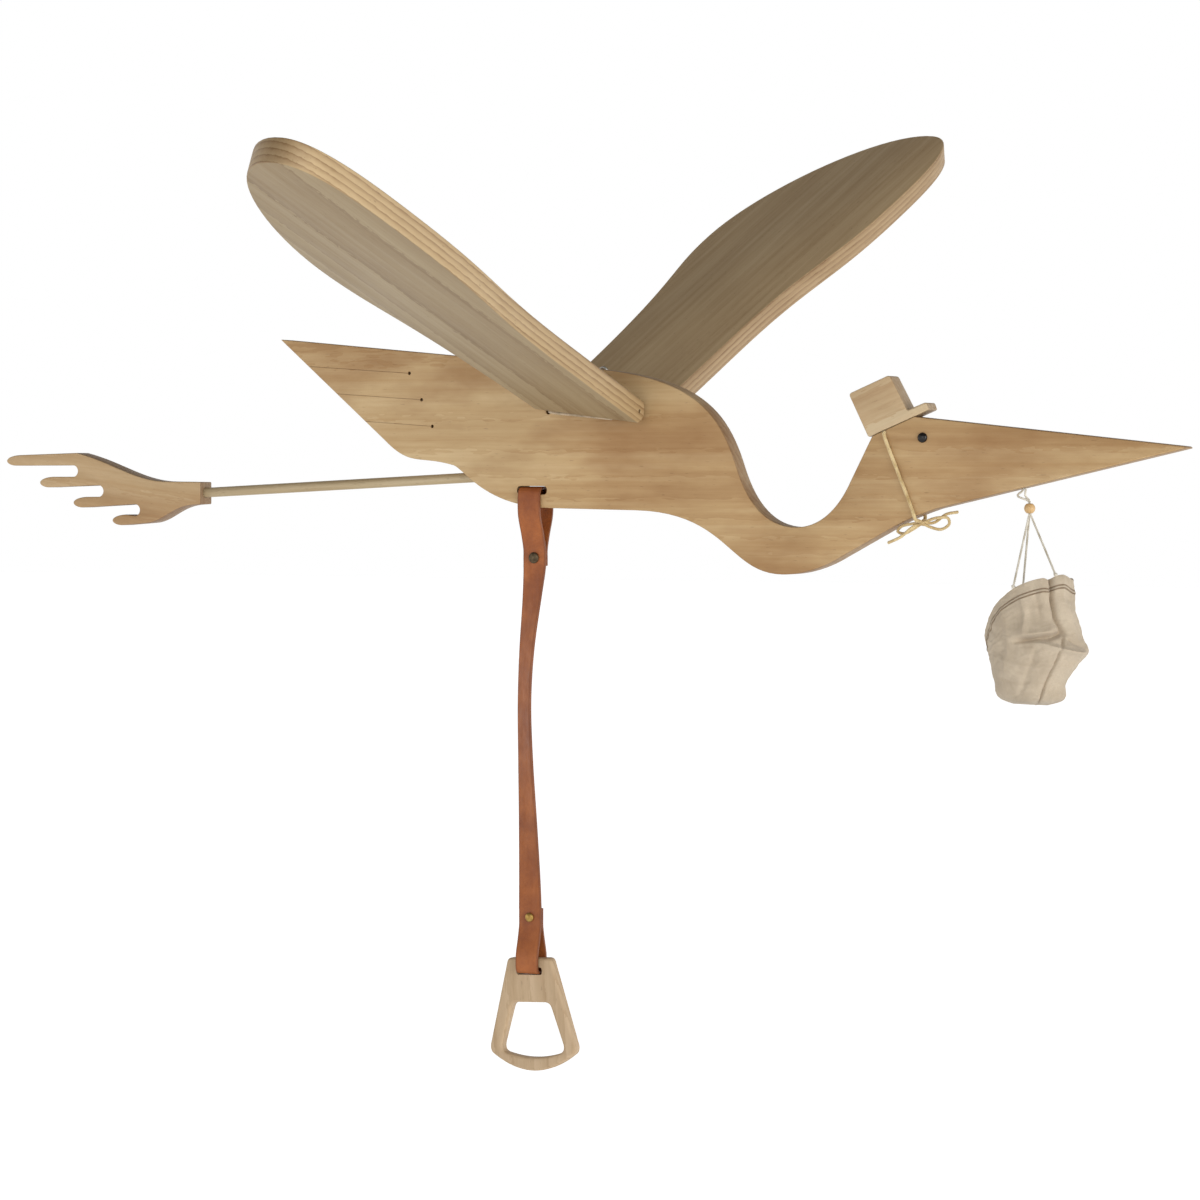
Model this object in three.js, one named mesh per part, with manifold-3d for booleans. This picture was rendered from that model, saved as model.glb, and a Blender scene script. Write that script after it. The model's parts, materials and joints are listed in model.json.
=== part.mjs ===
// A flapping stork mobile sawn from pine board, with its hanging pull strap, wooden pull handle
// and a small cloth bundle on the beak. Millimetres, +Z up, beak towards +X, the bird's left at +Y.
//
// Everything is drawn about the wing hinge: x = 0, z = 0 is the middle of the two hinge lines.
// The finished group is moved so that the origin is the hanging point, midway between the wing eyes.

import * as THREE from "three";
import { mergeVertices } from "three/addons/utils/BufferGeometryUtils.js";
import Module from "manifold-3d";

const wasm = await Module();
wasm.setup();

// ---------------------------------------------------------------- driving dimensions

const BOARD = 18; // thickness of every sawn board
const HALF_BOARD = BOARD / 2;
const GAP = 0.3; // clearance between touching pieces

const HINGE = {
  out: 22.4, // distance of each hinge line from the middle of the body
  drop: 7.2, // degrees that the hinge lines fall towards the beak
  bore: 3.4, // bore along each wing root
  boreDepth: 30,
};
const WING = {
  right: { side: -1, lift: 16.5 },
  left: { side: 1, lift: 25.6 },
  length: 569.5,
  rootRear: -45,
  rootFront: 46,
};
const SCREW_EYE = { along: -22, out: 30, ring: 2.9, wire: 1.2, shank: 10 };

const LEG = { radius: 4, depth: 20 };
const SLOT = { x: -55.7, top: -63.8, bottom: -70.6, width: 26.6, corner: 3.2 };
const TAIL_HOLES = [[-166.7, 26.4], [-155.6, 5.1], [-145.7, -16.2]]; // one at the end of each tail line
const TAIL_HOLE_RADIUS = 1.4;
const EYE = { x: 276.3, z: -27, radius: 3.9, height: 2.6, pin: 1.2 };
const BEAK_BORE = { x: 354.5, radius: 2.4, depth: 12 };

const STRAP = { width: 20, thickness: 2.4, twist: -34 };
const RIVETS = {
  rivet_upper: { x: -57.2, z: -120.6, radius: 4.4, color: 0x5b5044 },
  rivet_lower: { x: -61.3, z: -406.2, radius: 3.6, color: 0xa9853f },
};
const RIVET_POST = 1.3; // radius of the post through the strap
const HANDLE = { x: -61.1, top: -438.4, thickness: 10, tilt: 2.6, slotTop: 7.4, slotHeight: 6 };
const HAT = { x: 235.1, z: -25.6, tilt: 22.6, brim: 6.8 };
const HAT_CORD = { radius: 1.3, topX: 245.2, topZ: -22.9, chinX: 270.6, chinZ: -91.3 };
const HINGE_CORD = { radius: 1.2, rearX: -40, rearZ: -5, frontX: 18.5 };
const BAG = { depth: 25, wall: 1.8, around: 24 };
const BEAD = { x: 358.7, z: -80, radius: 4.2, bore: 1.9 };
const BAG_CORD_RADIUS = 0.9;

const CURVE_STEPS = 8; // segments in each curved stretch of an outline
const ROUND = 20; // sides of the leg and its bores
const SMALL_ROUND = 12; // sides of small bores, pins and rivets

// ---------------------------------------------------------------- solids

/** A closed geometry as a manifold solid. */
function solidOf(geometry) {
  const bare = geometry.clone();
  bare.deleteAttribute("normal");
  bare.deleteAttribute("uv");
  const merged = mergeVertices(bare, 1e-4);
  return new wasm.Manifold(new wasm.Mesh({
    numProp: 3,
    vertProperties: new Float32Array(merged.attributes.position.array),
    triVerts: new Uint32Array(merged.index.array),
  }));
}

/** A manifold solid as a geometry. */
function geometryOf(solid) {
  const mesh = solid.getMesh();
  const geometry = new THREE.BufferGeometry();
  geometry.setAttribute("position", new THREE.BufferAttribute(new Float32Array(mesh.vertProperties), 3));
  geometry.setIndex(new THREE.BufferAttribute(new Uint32Array(mesh.triVerts), 1));
  geometry.computeVertexNormals();
  return geometry;
}

/** The first solid with all the others cut from it. */
const cut = (solid, cutters) => cutters.reduce((left, cutter) => left.subtract(cutter), solid);

/** The solids joined into one. */
const join = (solids) => solids.reduce((all, solid) => all.add(solid));

const vec = (x, y, z) => new THREE.Vector3(x, y, z);
const radians = THREE.MathUtils.degToRad;

/** An outline sawn from a board, lying in XY with its thickness centred on Z = 0. */
function sawn(outline, thickness = BOARD) {
  const geometry = new THREE.ExtrudeGeometry(outline, {
    depth: thickness, bevelEnabled: false, curveSegments: CURVE_STEPS,
  });
  return solidOf(geometry.translate(0, 0, -thickness / 2));
}

/** A round bar between two points. */
function bar(from, to, radius, sides = ROUND) {
  const geometry = new THREE.CylinderGeometry(radius, radius, from.distanceTo(to), sides);
  const axis = to.clone().sub(from).normalize();
  geometry.applyQuaternion(new THREE.Quaternion().setFromUnitVectors(vec(0, 1, 0), axis));
  return solidOf(geometry.translate(...from.clone().add(to).multiplyScalar(0.5).toArray()));
}

/** A small hole straight through a board lying in XY. */
const hole = (x, y, radius) => bar(vec(x, y, -BOARD), vec(x, y, BOARD), radius, SMALL_ROUND);

/** A cord along a smooth line through the points. */
function cord(points, radius, steps) {
  const section = new THREE.Shape().absarc(0, 0, radius, 0, 2 * Math.PI);
  return solidOf(new THREE.ExtrudeGeometry(section, {
    steps, bevelEnabled: false, curveSegments: 4,
    extrudePath: new THREE.CatmullRomCurve3(points, false, "centripetal"),
  }));
}

/** A small ball, for knots. */
function ball(centre, radius) {
  return solidOf(new THREE.SphereGeometry(radius, 8, 6)).translate(centre.toArray());
}

/** An outline through corners [x, y, rounding], each corner softened by its rounding. */
function roundedOutline(corners) {
  const outline = new THREE.Shape();
  corners.forEach(([x, y, rounding], i) => {
    const corner = new THREE.Vector2(x, y);
    const towards = ([nextX, nextY]) => (
      new THREE.Vector2(nextX, nextY).sub(corner).setLength(rounding).add(corner)
    );
    const before = towards(corners.at(i - 1));
    const after = towards(corners[(i + 1) % corners.length]);
    if (i === 0) outline.moveTo(before.x, before.y);
    else outline.lineTo(before.x, before.y);
    outline.quadraticCurveTo(x, y, after.x, after.y);
  });
  return outline;
}

function paint(color, roughness = 0.7, metalness = 0) {
  return new THREE.MeshStandardMaterial({ color, roughness, metalness });
}

function piece(name, geometry, material) {
  const mesh = new THREE.Mesh(geometry, material);
  mesh.name = name;
  return mesh;
}

/** A group whose local XY is the upright XZ plane of the bird's body. */
function upright(...meshes) {
  const group = new THREE.Group();
  group.rotation.x = Math.PI / 2;
  group.add(...meshes);
  return group;
}

// ---------------------------------------------------------------- body

/** Height of the leg's centre line at x. */
const legHeight = (x) => -69.5 + 0.0503 * (x + 361.5);

/** The bird's side outline: tail, back, hump, neck, head, beak, breast and belly. */
function bodyOutline() {
  const outline = new THREE.Shape();
  outline.moveTo(-287.3, 55.2);
  outline.lineTo(0, 28);
  outline.bezierCurveTo(81, 20, 105, -3, 120, -44);
  outline.bezierCurveTo(124, -55, 135, -95, 172, -95);
  outline.bezierCurveTo(198, -95, 212, -71, 217, -60.5);
  outline.lineTo(HAT.x, HAT.z);
  outline.lineTo(269.4, -11.2);
  outline.lineTo(481.5, -34.2);
  outline.lineTo(482.7, -35.6);
  outline.lineTo(287, -80.3);
  outline.quadraticCurveTo(268, -86.2, 254, -93.4);
  outline.lineTo(209, -117.5);
  outline.bezierCurveTo(208, -118, 187, -131.3, 161, -131.3);
  outline.bezierCurveTo(115, -131.3, 115, -84, 35, -82.6);
  outline.lineTo(-40, -81.2);
  outline.bezierCurveTo(-99, -80, -117, -50, -127, -47.3);
  outline.bezierCurveTo(-159, -39, -166, -49, -190, -27);
  return outline;
}

function strapSlot() {
  const { x, top, bottom, width, corner } = SLOT;
  return sawn(roundedOutline([
    [x - width / 2, bottom, corner], [x + width / 2, bottom, corner],
    [x + width / 2, top, corner], [x - width / 2, top, corner],
  ]), 2 * BOARD);
}

/** Height of the beak's underside at x. */
const beakUnderside = (x) => -35.6 + (x - 482.7) * 0.2284;

function makeBody() {
  const legBore = bar(vec(-140, legHeight(-140), 0), vec(-95, legHeight(-95), 0), LEG.radius + GAP);
  const cordGroove = hole(HAT_CORD.topX, HAT_CORD.topZ, HAT_CORD.radius + 0.5);
  const beakBore = bar(
    vec(BEAK_BORE.x, beakUnderside(BEAK_BORE.x) - 5, 0),
    vec(BEAK_BORE.x, beakUnderside(BEAK_BORE.x) + BEAK_BORE.depth, 0), BEAK_BORE.radius, SMALL_ROUND,
  );
  const solid = cut(sawn(bodyOutline()), [
    strapSlot(), legBore, cordGroove, beakBore,
    ...TAIL_HOLES.map(([x, y]) => hole(x, y, TAIL_HOLE_RADIUS)),
    hole(HINGE_CORD.rearX, HINGE_CORD.rearZ, HINGE_CORD.radius + 0.5),
    hole(EYE.x, EYE.z, EYE.pin + GAP),
  ]);
  return upright(piece("body", geometryOf(solid), paint(0xb5935f)));
}

// ---------------------------------------------------------------- wings

/** The wing's outline: the root, out along the leading edge, and back along the trailing edge. */
function wingOutline(side) {
  const outline = new THREE.Shape();
  const out = (distance) => side * distance;
  outline.moveTo(WING.rootRear, out(0));
  outline.lineTo(WING.rootFront, out(0));
  outline.lineTo(WING.rootFront, out(140));
  outline.bezierCurveTo(WING.rootFront, out(277), 61.3, out(287), 61.3, out(430));
  outline.bezierCurveTo(61.3, out(494), 60, out(WING.length), 33, out(WING.length));
  outline.bezierCurveTo(-14, out(WING.length), -65.8, out(419), -65.8, out(315));
  outline.bezierCurveTo(-65.8, out(232), -51, out(229), -45.6, out(30));
  return outline;
}

/** One wing, in a group that is its hinge: local X is the hinge line, local Z the wing's normal. */
function makeWing(name, { side, lift }) {
  const { rootRear, rootFront } = WING;
  const { bore, boreDepth } = HINGE;
  const eyeBore = bar(
    vec(SCREW_EYE.along, side * SCREW_EYE.out, HALF_BOARD + 1),
    vec(SCREW_EYE.along, side * SCREW_EYE.out, HALF_BOARD - SCREW_EYE.shank),
    SCREW_EYE.wire + GAP, SMALL_ROUND,
  );
  const root = bar(vec(rootRear, 0, 0), vec(rootFront, 0, 0), HALF_BOARD, 24);
  const solid = cut(sawn(wingOutline(side)).add(root), [
    bar(vec(rootFront - boreDepth, 0, 0), vec(rootFront + 1, 0, 0), bore / 2, SMALL_ROUND),
    bar(vec(rootRear - 1, 0, 0), vec(rootRear + boreDepth, 0, 0), bore / 2, SMALL_ROUND),
    eyeBore,
  ]);
  const group = new THREE.Group();
  group.position.set(0, side * HINGE.out, 0);
  group.rotation.order = "YXZ";
  group.rotation.y = radians(HINGE.drop);
  group.rotation.x = side * radians(lift);
  group.add(piece(name, geometryOf(solid), paint(0xb39463)));
  group.add(piece(name.replace("wing", "screw_eye"), screwEye(side), paint(0xb9b9b6, 0.3, 0.9)));
  return group;
}

/** A closed steel eye on a shank, standing on the wing's upper face. */
function screwEye(side) {
  const { along, out, ring, wire, shank } = SCREW_EYE;
  const centre = HALF_BOARD + GAP + ring + wire;
  const eye = solidOf(new THREE.TorusGeometry(ring, wire, 6, 14).rotateX(Math.PI / 2))
    .translate([along, side * out, centre]);
  const stem = bar(
    vec(along, side * out, HALF_BOARD - shank + 1), vec(along, side * out, centre - ring), wire, 8,
  );
  return geometryOf(eye.add(stem));
}

/** Where the hanging line pulls on a wing's screw eye. */
function eyePoint({ side, lift }) {
  const { along, out, ring, wire } = SCREW_EYE;
  const turn = new THREE.Euler(side * radians(lift), radians(HINGE.drop), 0, "YXZ");
  return vec(along, side * out, HALF_BOARD + GAP + ring + wire).applyEuler(turn)
    .add(vec(0, side * HINGE.out, 0));
}

// ---------------------------------------------------------------- leg and foot

function makeLeg() {
  const rear = -365 - LEG.depth + 1;
  const front = -96;
  const solid = bar(vec(rear, legHeight(rear), 0), vec(front, legHeight(front), 0), LEG.radius, ROUND);
  return upright(piece("leg", geometryOf(solid), paint(0xc0a06c)));
}

/** The webless foot: four blunt toes, one behind another, and a square ankle. */
function footOutline() {
  const tips = [[-558.2, -43.3], [-524.6, -61.6], [-490.8, -78.4], [-451.8, -93]];
  const forks = [[-486.2, -51.8], [-460.7, -68.5], [-424.5, -84.2]]; // rounded ends of the gaps
  const forkRadius = 4.8;
  const outline = new THREE.Shape();
  outline.moveTo(-365, -79.2);
  outline.lineTo(-365, -60.9);
  outline.lineTo(-398, -60.5);
  outline.bezierCurveTo(-430, -60, -450, -45, -487, -36.6);
  tips.forEach(([x, y], i) => {
    outline.lineTo(x + 13, y + 5);
    outline.quadraticCurveTo(x + 1, y + 4.2, x, y);
    outline.quadraticCurveTo(x + 1.5, y - 3.6, x + 9, y - 3.9);
    if (i < forks.length) {
      const [forkX, forkY] = forks[i];
      outline.lineTo(forkX - forkRadius, forkY + forkRadius);
      outline.absarc(forkX - forkRadius, forkY, forkRadius, Math.PI / 2, -Math.PI / 2, true);
    }
  });
  outline.lineTo(-418, -95);
  outline.bezierCurveTo(-401, -93.6, -393, -80.8, -372, -79.6);
  return outline;
}

function makeFoot() {
  const ankleBore = bar(
    vec(-365 - LEG.depth, legHeight(-365 - LEG.depth), 0), vec(-355, legHeight(-355), 0), LEG.radius + GAP,
  );
  const solid = sawn(footOutline()).subtract(ankleBore);
  return upright(piece("foot", geometryOf(solid), paint(0xb7935e)));
}

// ---------------------------------------------------------------- hat and its cord, eyes

/** A top hat in side view with a peak towards the beak, its underside along local X. */
function makeHat() {
  const solid = sawn(roundedOutline([
    [-3.4, 0, 1.8], [50, 0, 1.2], [50.2, HAT.brim - 0.5, 1.8],
    [33.6, HAT.brim, 0.8], [30.4, 36.9, 2.8], [-5.8, 36.8, 2.8],
  ]));
  const hat = piece("hat", geometryOf(solid), paint(0xb99a6b));
  hat.position.set(HAT.x, HAT.z + GAP, 0);
  hat.rotation.z = radians(HAT.tilt);
  return upright(hat);
}

/** The cord over the head and under the chin, tied in a bow with two loops and two tails. */
function makeHatCord() {
  const { radius, topX, topZ, chinX, chinZ } = HAT_CORD;
  const beside = HALF_BOARD + GAP + radius;
  const bowRadius = radius * 0.85;
  const knot = vec(chinX + 1.6, 0, chinZ);
  const half = (side) => cord([
    knot.clone().add(vec(0, -side, 0)), vec(chinX + 1, side * 5, chinZ + 1.6),
    vec(chinX + 0.4, side * 8.8, chinZ + 2.1), vec(chinX, side * (beside + 0.2), chinZ + 4.7),
    vec(chinX - 2, side * beside, chinZ + 10.3), vec(topX + 1, side * beside, topZ - 3.7),
    vec(topX + 0.3, side * (beside - 0.2), topZ - 1.1), vec(topX, side * 8.6, topZ),
    vec(topX, side * 4, topZ), vec(topX, -side, topZ),
  ], radius, 24);
  const loop = (points) => cord([knot, ...points, knot.clone().add(vec(0, 0.6, 0))], bowRadius, 14);
  const backLoop = loop([
    vec(265, -2.5, -92), vec(257, -3.6, -94), vec(254, -3.4, -97.6),
    vec(258.5, -3.2, -99.4), vec(266, -2, -96),
  ]);
  const frontLoop = loop([
    vec(279, 2, -94.6), vec(287, 3, -96), vec(293, 3.4, -92), vec(292, 3.2, -87.6), vec(283, 2.4, -87.5),
  ]);
  const tail = (points) => cord([knot, ...points], bowRadius, 6);
  const backTail = tail([vec(266, -5, -95), vec(258, -7, -101.8), vec(247.8, -7.4, -106.4)]);
  const frontTail = tail([vec(280, 5.6, -91), vec(289, 7.2, -84.8), vec(298.4, 7.6, -83)]);
  const solid = join([half(1), half(-1), ball(knot, 2.7), backLoop, frontLoop, backTail, frontTail]);
  return piece("hat_cord", geometryOf(solid), paint(0xd2b98c, 0.9));
}

/** A domed eye on a short pin, set in the head on one side. */
function makeEye(name, side) {
  const { x, z, radius, height, pin } = EYE;
  const face = HALF_BOARD + GAP;
  const pinEnd = face - 5;
  const profile = [[0, pinEnd], [pin, pinEnd], [pin, face]].map(([r, y]) => new THREE.Vector2(r, y));
  const domeSteps = 4;
  for (let i = 0; i <= domeSteps; i += 1) {
    const angle = (i / domeSteps) * (Math.PI / 2);
    profile.push(new THREE.Vector2(radius * Math.cos(angle), face + height * Math.sin(angle)));
  }
  profile.at(-1).x = 0;
  const geometry = new THREE.LatheGeometry(profile, 14);
  if (side < 0) geometry.rotateZ(Math.PI);
  const eye = piece(name, geometryOf(solidOf(geometry)), paint(0x14110f, 0.15));
  eye.position.set(x, 0, z);
  return eye;
}

// ---------------------------------------------------------------- cords of the wings and the bag

/** The cord through the body under the wing roots, out along both faces to the wings. */
function makeHingeCord() {
  const { radius, rearX, rearZ, frontX } = HINGE_CORD;
  const half = (side) => [
    vec(rearX, side * 7, rearZ), vec(rearX + 0.8, side * 10.2, rearZ - 0.3),
    vec(rearX + 4, side * 11, rearZ - 1), vec(frontX - 24, side * 12.2, rearZ - 4),
    vec(frontX, side * 15.2, rearZ - 6.4),
  ];
  const points = [...half(-1).reverse(), ...half(1)];
  return piece("hinge_cord", geometryOf(cord(points, radius, 30)), paint(0xe4e0d6, 0.9));
}

/** Rise of the bag's mouth above the straight line between its ends, from one end (0) to the other (1). */
const mouthArch = (across) => 33 - 28 * across;

/** Fall of the mouth at its beak end. */
const mouthDroop = (across) => 5 * (Math.max(0, across - 0.92) / 0.08) ** 2;

/** Further fall of the mouth on its left side, more towards the beak end. */
const leftSag = (across) => 3 + 9 * (Math.max(0, across - 0.7) / 0.3) ** 2;

const BAG_LEVELS = [ // [back x, back z, beak-side x, beak-side z, fullness] from the bottom to the mouth
  [346, -226, 373, -226.6, 0.3], [335.5, -220.5, 386, -221.9, 0.62], [331, -208, 387, -209, 0.82],
  [329, -198, 397, -196, 0.92], [328, -192, 404.5, -185.6, 0.98], [327, -189, 399, -172, 1],
  [326, -186.6, 394, -150, 0.94], [325.1, -184, 392.5, -127, 0.86],
];

/** A point of the bag's wall: level 0 to 1, angle about its upright middle, inset from the outer face. */
function bagPoint(level, angle, inset) {
  const last = BAG_LEVELS.length - 1;
  const from = Math.min(Math.floor(level * last), last - 1);
  const mix = level * last - from;
  const [backX, backZ, beakX, beakZ, fullness] = BAG_LEVELS[from].map(
    (value, i) => THREE.MathUtils.lerp(value, BAG_LEVELS[from + 1][i], mix),
  );
  const across = (1 + Math.cos(angle)) / 2;
  const halfWidth = (beakX - backX) / 2 - inset;
  const arch = mouthArch(across) * Math.abs(Math.sin(angle)) * level ** 2.2;
  const onLeft = Math.max(0, Math.sin(angle));
  const droop = (mouthDroop(across) + leftSag(across) * onLeft) * level ** 6;
  return vec(
    (backX + beakX) / 2 + halfWidth * Math.cos(angle),
    (BAG.depth * fullness - inset) * Math.sin(angle),
    THREE.MathUtils.lerp(backZ, beakZ, across) + arch - droop,
  );
}

/** The open cloth pouch: an outer wall, a rim, an inner wall and a bottom, as one closed skin. */
function makeBag() {
  const { around, wall } = BAG;
  const outerLevels = [0, 0.1, 0.2, 0.3, 0.42, 0.55, 0.7, 0.85, 1];
  const rings = [
    ...outerLevels.map((level) => [level, 0]),
    ...outerLevels.slice(1).reverse().map((level) => [level, wall]),
  ];
  const positions = [];
  rings.forEach(([level, inset]) => {
    for (let i = 0; i < around; i += 1) {
      positions.push(...bagPoint(level, (2 * Math.PI * i) / around, inset).toArray());
    }
  });
  const bottom = positions.length / 3;
  positions.push(359.5, 0, -227.2, 359.5, 0, -221.5);
  const indices = [];
  for (let ring = 0; ring < rings.length - 1; ring += 1) {
    for (let i = 0; i < around; i += 1) {
      const a = ring * around + i;
      const b = ring * around + ((i + 1) % around);
      indices.push(a, b, a + around, b, b + around, a + around);
    }
  }
  const lastRing = (rings.length - 1) * around;
  for (let i = 0; i < around; i += 1) {
    const next = (i + 1) % around;
    indices.push(bottom, next, i, bottom + 1, lastRing + i, lastRing + next);
  }
  const geometry = new THREE.BufferGeometry();
  geometry.setAttribute("position", new THREE.Float32BufferAttribute(positions, 3));
  geometry.setIndex(indices);
  geometry.computeVertexNormals();
  return piece("bag", geometry, paint(0xb9a992, 0.95));
}

/** The doubled cord out of the beak, through the bead, spread to three knots on the bag's mouth. */
function makeBagCord() {
  const top = beakUnderside(BEAK_BORE.x) + BEAK_BORE.depth - 2;
  const above = vec(BEAD.x, 0, BEAD.z + 3);
  const below = vec(BEAD.x, 0, BEAD.z - BEAD.radius - 2.6);
  const radius = BAG_CORD_RADIUS;
  const strand = (side, bulge) => cord([
    vec(BEAK_BORE.x + side, 0, top), vec(BEAK_BORE.x + side, 0, BEAD.z + 14),
    vec(BEAK_BORE.x + side - bulge, side, BEAD.z + 9.5),
    vec(BEAD.x + side * 0.4 - 0.6, 0, BEAD.z + 5.5), above,
  ], radius, 12);
  const knots = [[0.43, -1], [0.3, 1], [0.88, -1]].map(([across, side]) => {
    const angle = side * Math.acos(2 * across - 1);
    return bagPoint(1, angle, BAG.wall / 2).add(vec(0, 0, 2.4));
  });
  const solid = join([
    strand(-1, 4), strand(1, 0.6), bar(above.clone().add(vec(0, 0, 1)), below, radius * 1.5, 8),
    ...knots.map((knot) => bar(below.clone().add(vec(0, 0, 0.8)), knot, radius, 8)),
    ...knots.map((knot) => ball(knot, 1.8)),
  ]);
  return piece("bag_cord", geometryOf(solid), paint(0xd6d2c6, 0.9));
}

function makeBead() {
  const { x, z, radius, bore } = BEAD;
  const solid = solidOf(new THREE.SphereGeometry(radius, 14, 8))
    .subtract(bar(vec(0, -radius - 1, 0), vec(0, radius + 1, 0), bore, SMALL_ROUND));
  return upright(piece("bead", geometryOf(solid.translate([x, z, 0])), paint(0xc79a55, 0.4)));
}

// ---------------------------------------------------------------- strap, rivets and handle

/** Three points of the strap's middle line, bent round the point (y, z). */
function bend(x, y, z, radius, fromDegrees) {
  return [0, 45, 90].map((degrees) => {
    const angle = radians(fromDegrees + degrees);
    return vec(x, y + radius * Math.cos(angle), z + radius * Math.sin(angle));
  });
}

/** The strap's middle line: folded back through the body's slot above and the handle's slot below. */
function strapLine() {
  const pair = STRAP.thickness / 2 + 0.15; // each of two layers, either side of the middle
  const upperBend = 4;
  const lowerBend = 3;
  const upperSide = HALF_BOARD + STRAP.thickness / 2 + 0.4;
  const lowerSide = HANDLE.thickness / 2 + STRAP.thickness / 2 + 0.9;
  const upperRun = SLOT.top - 1.9; // height of the middle line within the body's slot
  const { x: upperX, z: upperZ } = RIVETS.rivet_upper;
  const { x: lowerX, z: lowerZ } = RIVETS.rivet_lower;
  const lowerRun = HANDLE.top - HANDLE.slotTop - 4; // and within the handle's slot
  return new THREE.CatmullRomCurve3([
    ...[-6.4, 0, 6.4].map((above) => vec(upperX, pair, upperZ + above)),
    vec(upperX, 4.6, -103), vec(upperX, upperSide, -86),
    ...bend(upperX, upperSide - upperBend, upperRun - upperBend, upperBend, 0),
    ...bend(upperX, upperBend - upperSide, upperRun - upperBend, upperBend, 90),
    vec(upperX, -upperSide, -86), vec(upperX, -4.6, -103),
    ...[6.4, 0, -7.4].map((above) => vec(upperX, -pair, upperZ + above)),
    vec(-60, 0, -150), vec(-65, 0, -195), vec(-67, 0, -236), vec(-66, 0, -282),
    vec(-64, 0, -330), vec(-62.4, 0, -377),
    ...[7.4, 0, -6.4].map((above) => vec(lowerX, -pair, lowerZ + above)),
    vec(lowerX, -3.6, -423), vec(lowerX, -lowerSide, -436.5),
    ...bend(lowerX, lowerBend - lowerSide, lowerRun + lowerBend, lowerBend, 180),
    ...bend(lowerX, lowerSide - lowerBend, lowerRun + lowerBend, lowerBend, 270),
    vec(lowerX, lowerSide, -436.5), vec(lowerX, 3.6, -423),
    ...[-6.4, 0, 7.4].map((above) => vec(lowerX, pair, lowerZ + above)),
  ], false, "centripetal");
}

/** How far the single stretch is twisted about the plumb line, at height z. */
function strapTwist(z) {
  const share = (z + 127) / (127 - 399);
  return share > 0 && share < 1 ? radians(STRAP.twist) * Math.sin(Math.PI * share ** 0.75) : 0;
}

function makeStrap() {
  const line = strapLine();
  const stations = (line.points.length - 1) * 2;
  const positions = [];
  for (let i = 0; i <= stations; i += 1) {
    const centre = line.getPoint(i / stations);
    const along = line.getTangent(i / stations);
    const twist = strapTwist(centre.z);
    const wide = vec(Math.cos(twist), Math.sin(twist), 0);
    wide.addScaledVector(along, -wide.dot(along)).normalize();
    const thick = along.clone().cross(wide);
    [[-1, -1], [1, -1], [1, 1], [-1, 1]].forEach(([a, b]) => {
      const corner = centre.clone().addScaledVector(wide, (a * STRAP.width) / 2);
      positions.push(...corner.addScaledVector(thick, (b * STRAP.thickness) / 2).toArray());
    });
  }
  const indices = [0, 2, 1, 0, 3, 2];
  for (let i = 0; i < stations; i += 1) {
    for (let side = 0; side < 4; side += 1) {
      const a = 4 * i + side;
      const b = 4 * i + ((side + 1) % 4);
      indices.push(a, b, b + 4, a, b + 4, a + 4);
    }
  }
  const end = 4 * stations;
  indices.push(end, end + 1, end + 2, end, end + 2, end + 3);
  const geometry = new THREE.BufferGeometry();
  geometry.setAttribute("position", new THREE.Float32BufferAttribute(positions, 3));
  geometry.setIndex(indices);
  const holes = Object.values(RIVETS).map(
    ({ x, z }) => bar(vec(x, -BOARD, z), vec(x, BOARD, z), RIVET_POST + 2 * GAP, SMALL_ROUND),
  );
  return piece("strap", geometryOf(cut(solidOf(geometry), holes)), paint(0x8f5733, 0.6));
}

/** A double-cap rivet through both layers of the strap. */
function makeRivet(name, { x, z, radius, color }) {
  const seat = STRAP.thickness + 0.15 + GAP;
  const cap = [[0, 1.7], [0.45, 1.6], [0.8, 1.15], [1, 0.4], [1, 0]];
  const lower = cap.map(([r, h]) => new THREE.Vector2(r * radius, -seat - h));
  const upper = cap.map(([r, h]) => new THREE.Vector2(r * radius, seat + h)).reverse();
  const post = [-seat, seat].map((y) => new THREE.Vector2(RIVET_POST, y));
  const geometry = new THREE.LatheGeometry([...lower, ...post, ...upper], SMALL_ROUND);
  const rivet = piece(name, geometryOf(solidOf(geometry)), paint(color, 0.35, 0.9));
  rivet.position.set(x, 0, z);
  return rivet;
}

/** The pull handle: a trapezoid with a curved lower bar, a hand opening and a slot for the strap. */
function makeHandle() {
  const outline = new THREE.Shape();
  outline.moveTo(16, 0);
  outline.quadraticCurveTo(19.6, 0, 20.4, -4);
  outline.lineTo(37.2, -66);
  outline.quadraticCurveTo(40, -74, 35.5, -77);
  outline.quadraticCurveTo(0, -103, -35.5, -77);
  outline.quadraticCurveTo(-40, -74, -37.2, -66);
  outline.lineTo(-20.4, -4);
  outline.quadraticCurveTo(-19.6, 0, -16, 0);
  const opening = new THREE.Shape();
  opening.moveTo(12, -35.4);
  opening.quadraticCurveTo(16.6, -35.4, 18, -40);
  opening.lineTo(27, -68);
  opening.quadraticCurveTo(28.6, -74, 24, -75.6);
  opening.quadraticCurveTo(0, -83, -24, -75.6);
  opening.quadraticCurveTo(-28.6, -74, -27, -68);
  opening.lineTo(-18, -40);
  opening.quadraticCurveTo(-16.6, -35.4, -12, -35.4);
  const { slotTop, slotHeight, thickness } = HANDLE;
  const slotHalf = STRAP.width / 2 + 1.4;
  const slot = sawn(roundedOutline([
    [-slotHalf, -slotTop - slotHeight, 2], [slotHalf, -slotTop - slotHeight, 2],
    [slotHalf, -slotTop, 2], [-slotHalf, -slotTop, 2],
  ]), 2 * thickness);
  const solid = cut(sawn(outline, thickness), [sawn(opening, 2 * thickness), slot]);
  const handle = piece("handle", geometryOf(solid), paint(0xbfa27a));
  handle.position.set(HANDLE.x, HANDLE.top, 0);
  handle.rotation.z = radians(HANDLE.tilt);
  return upright(handle);
}

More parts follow.
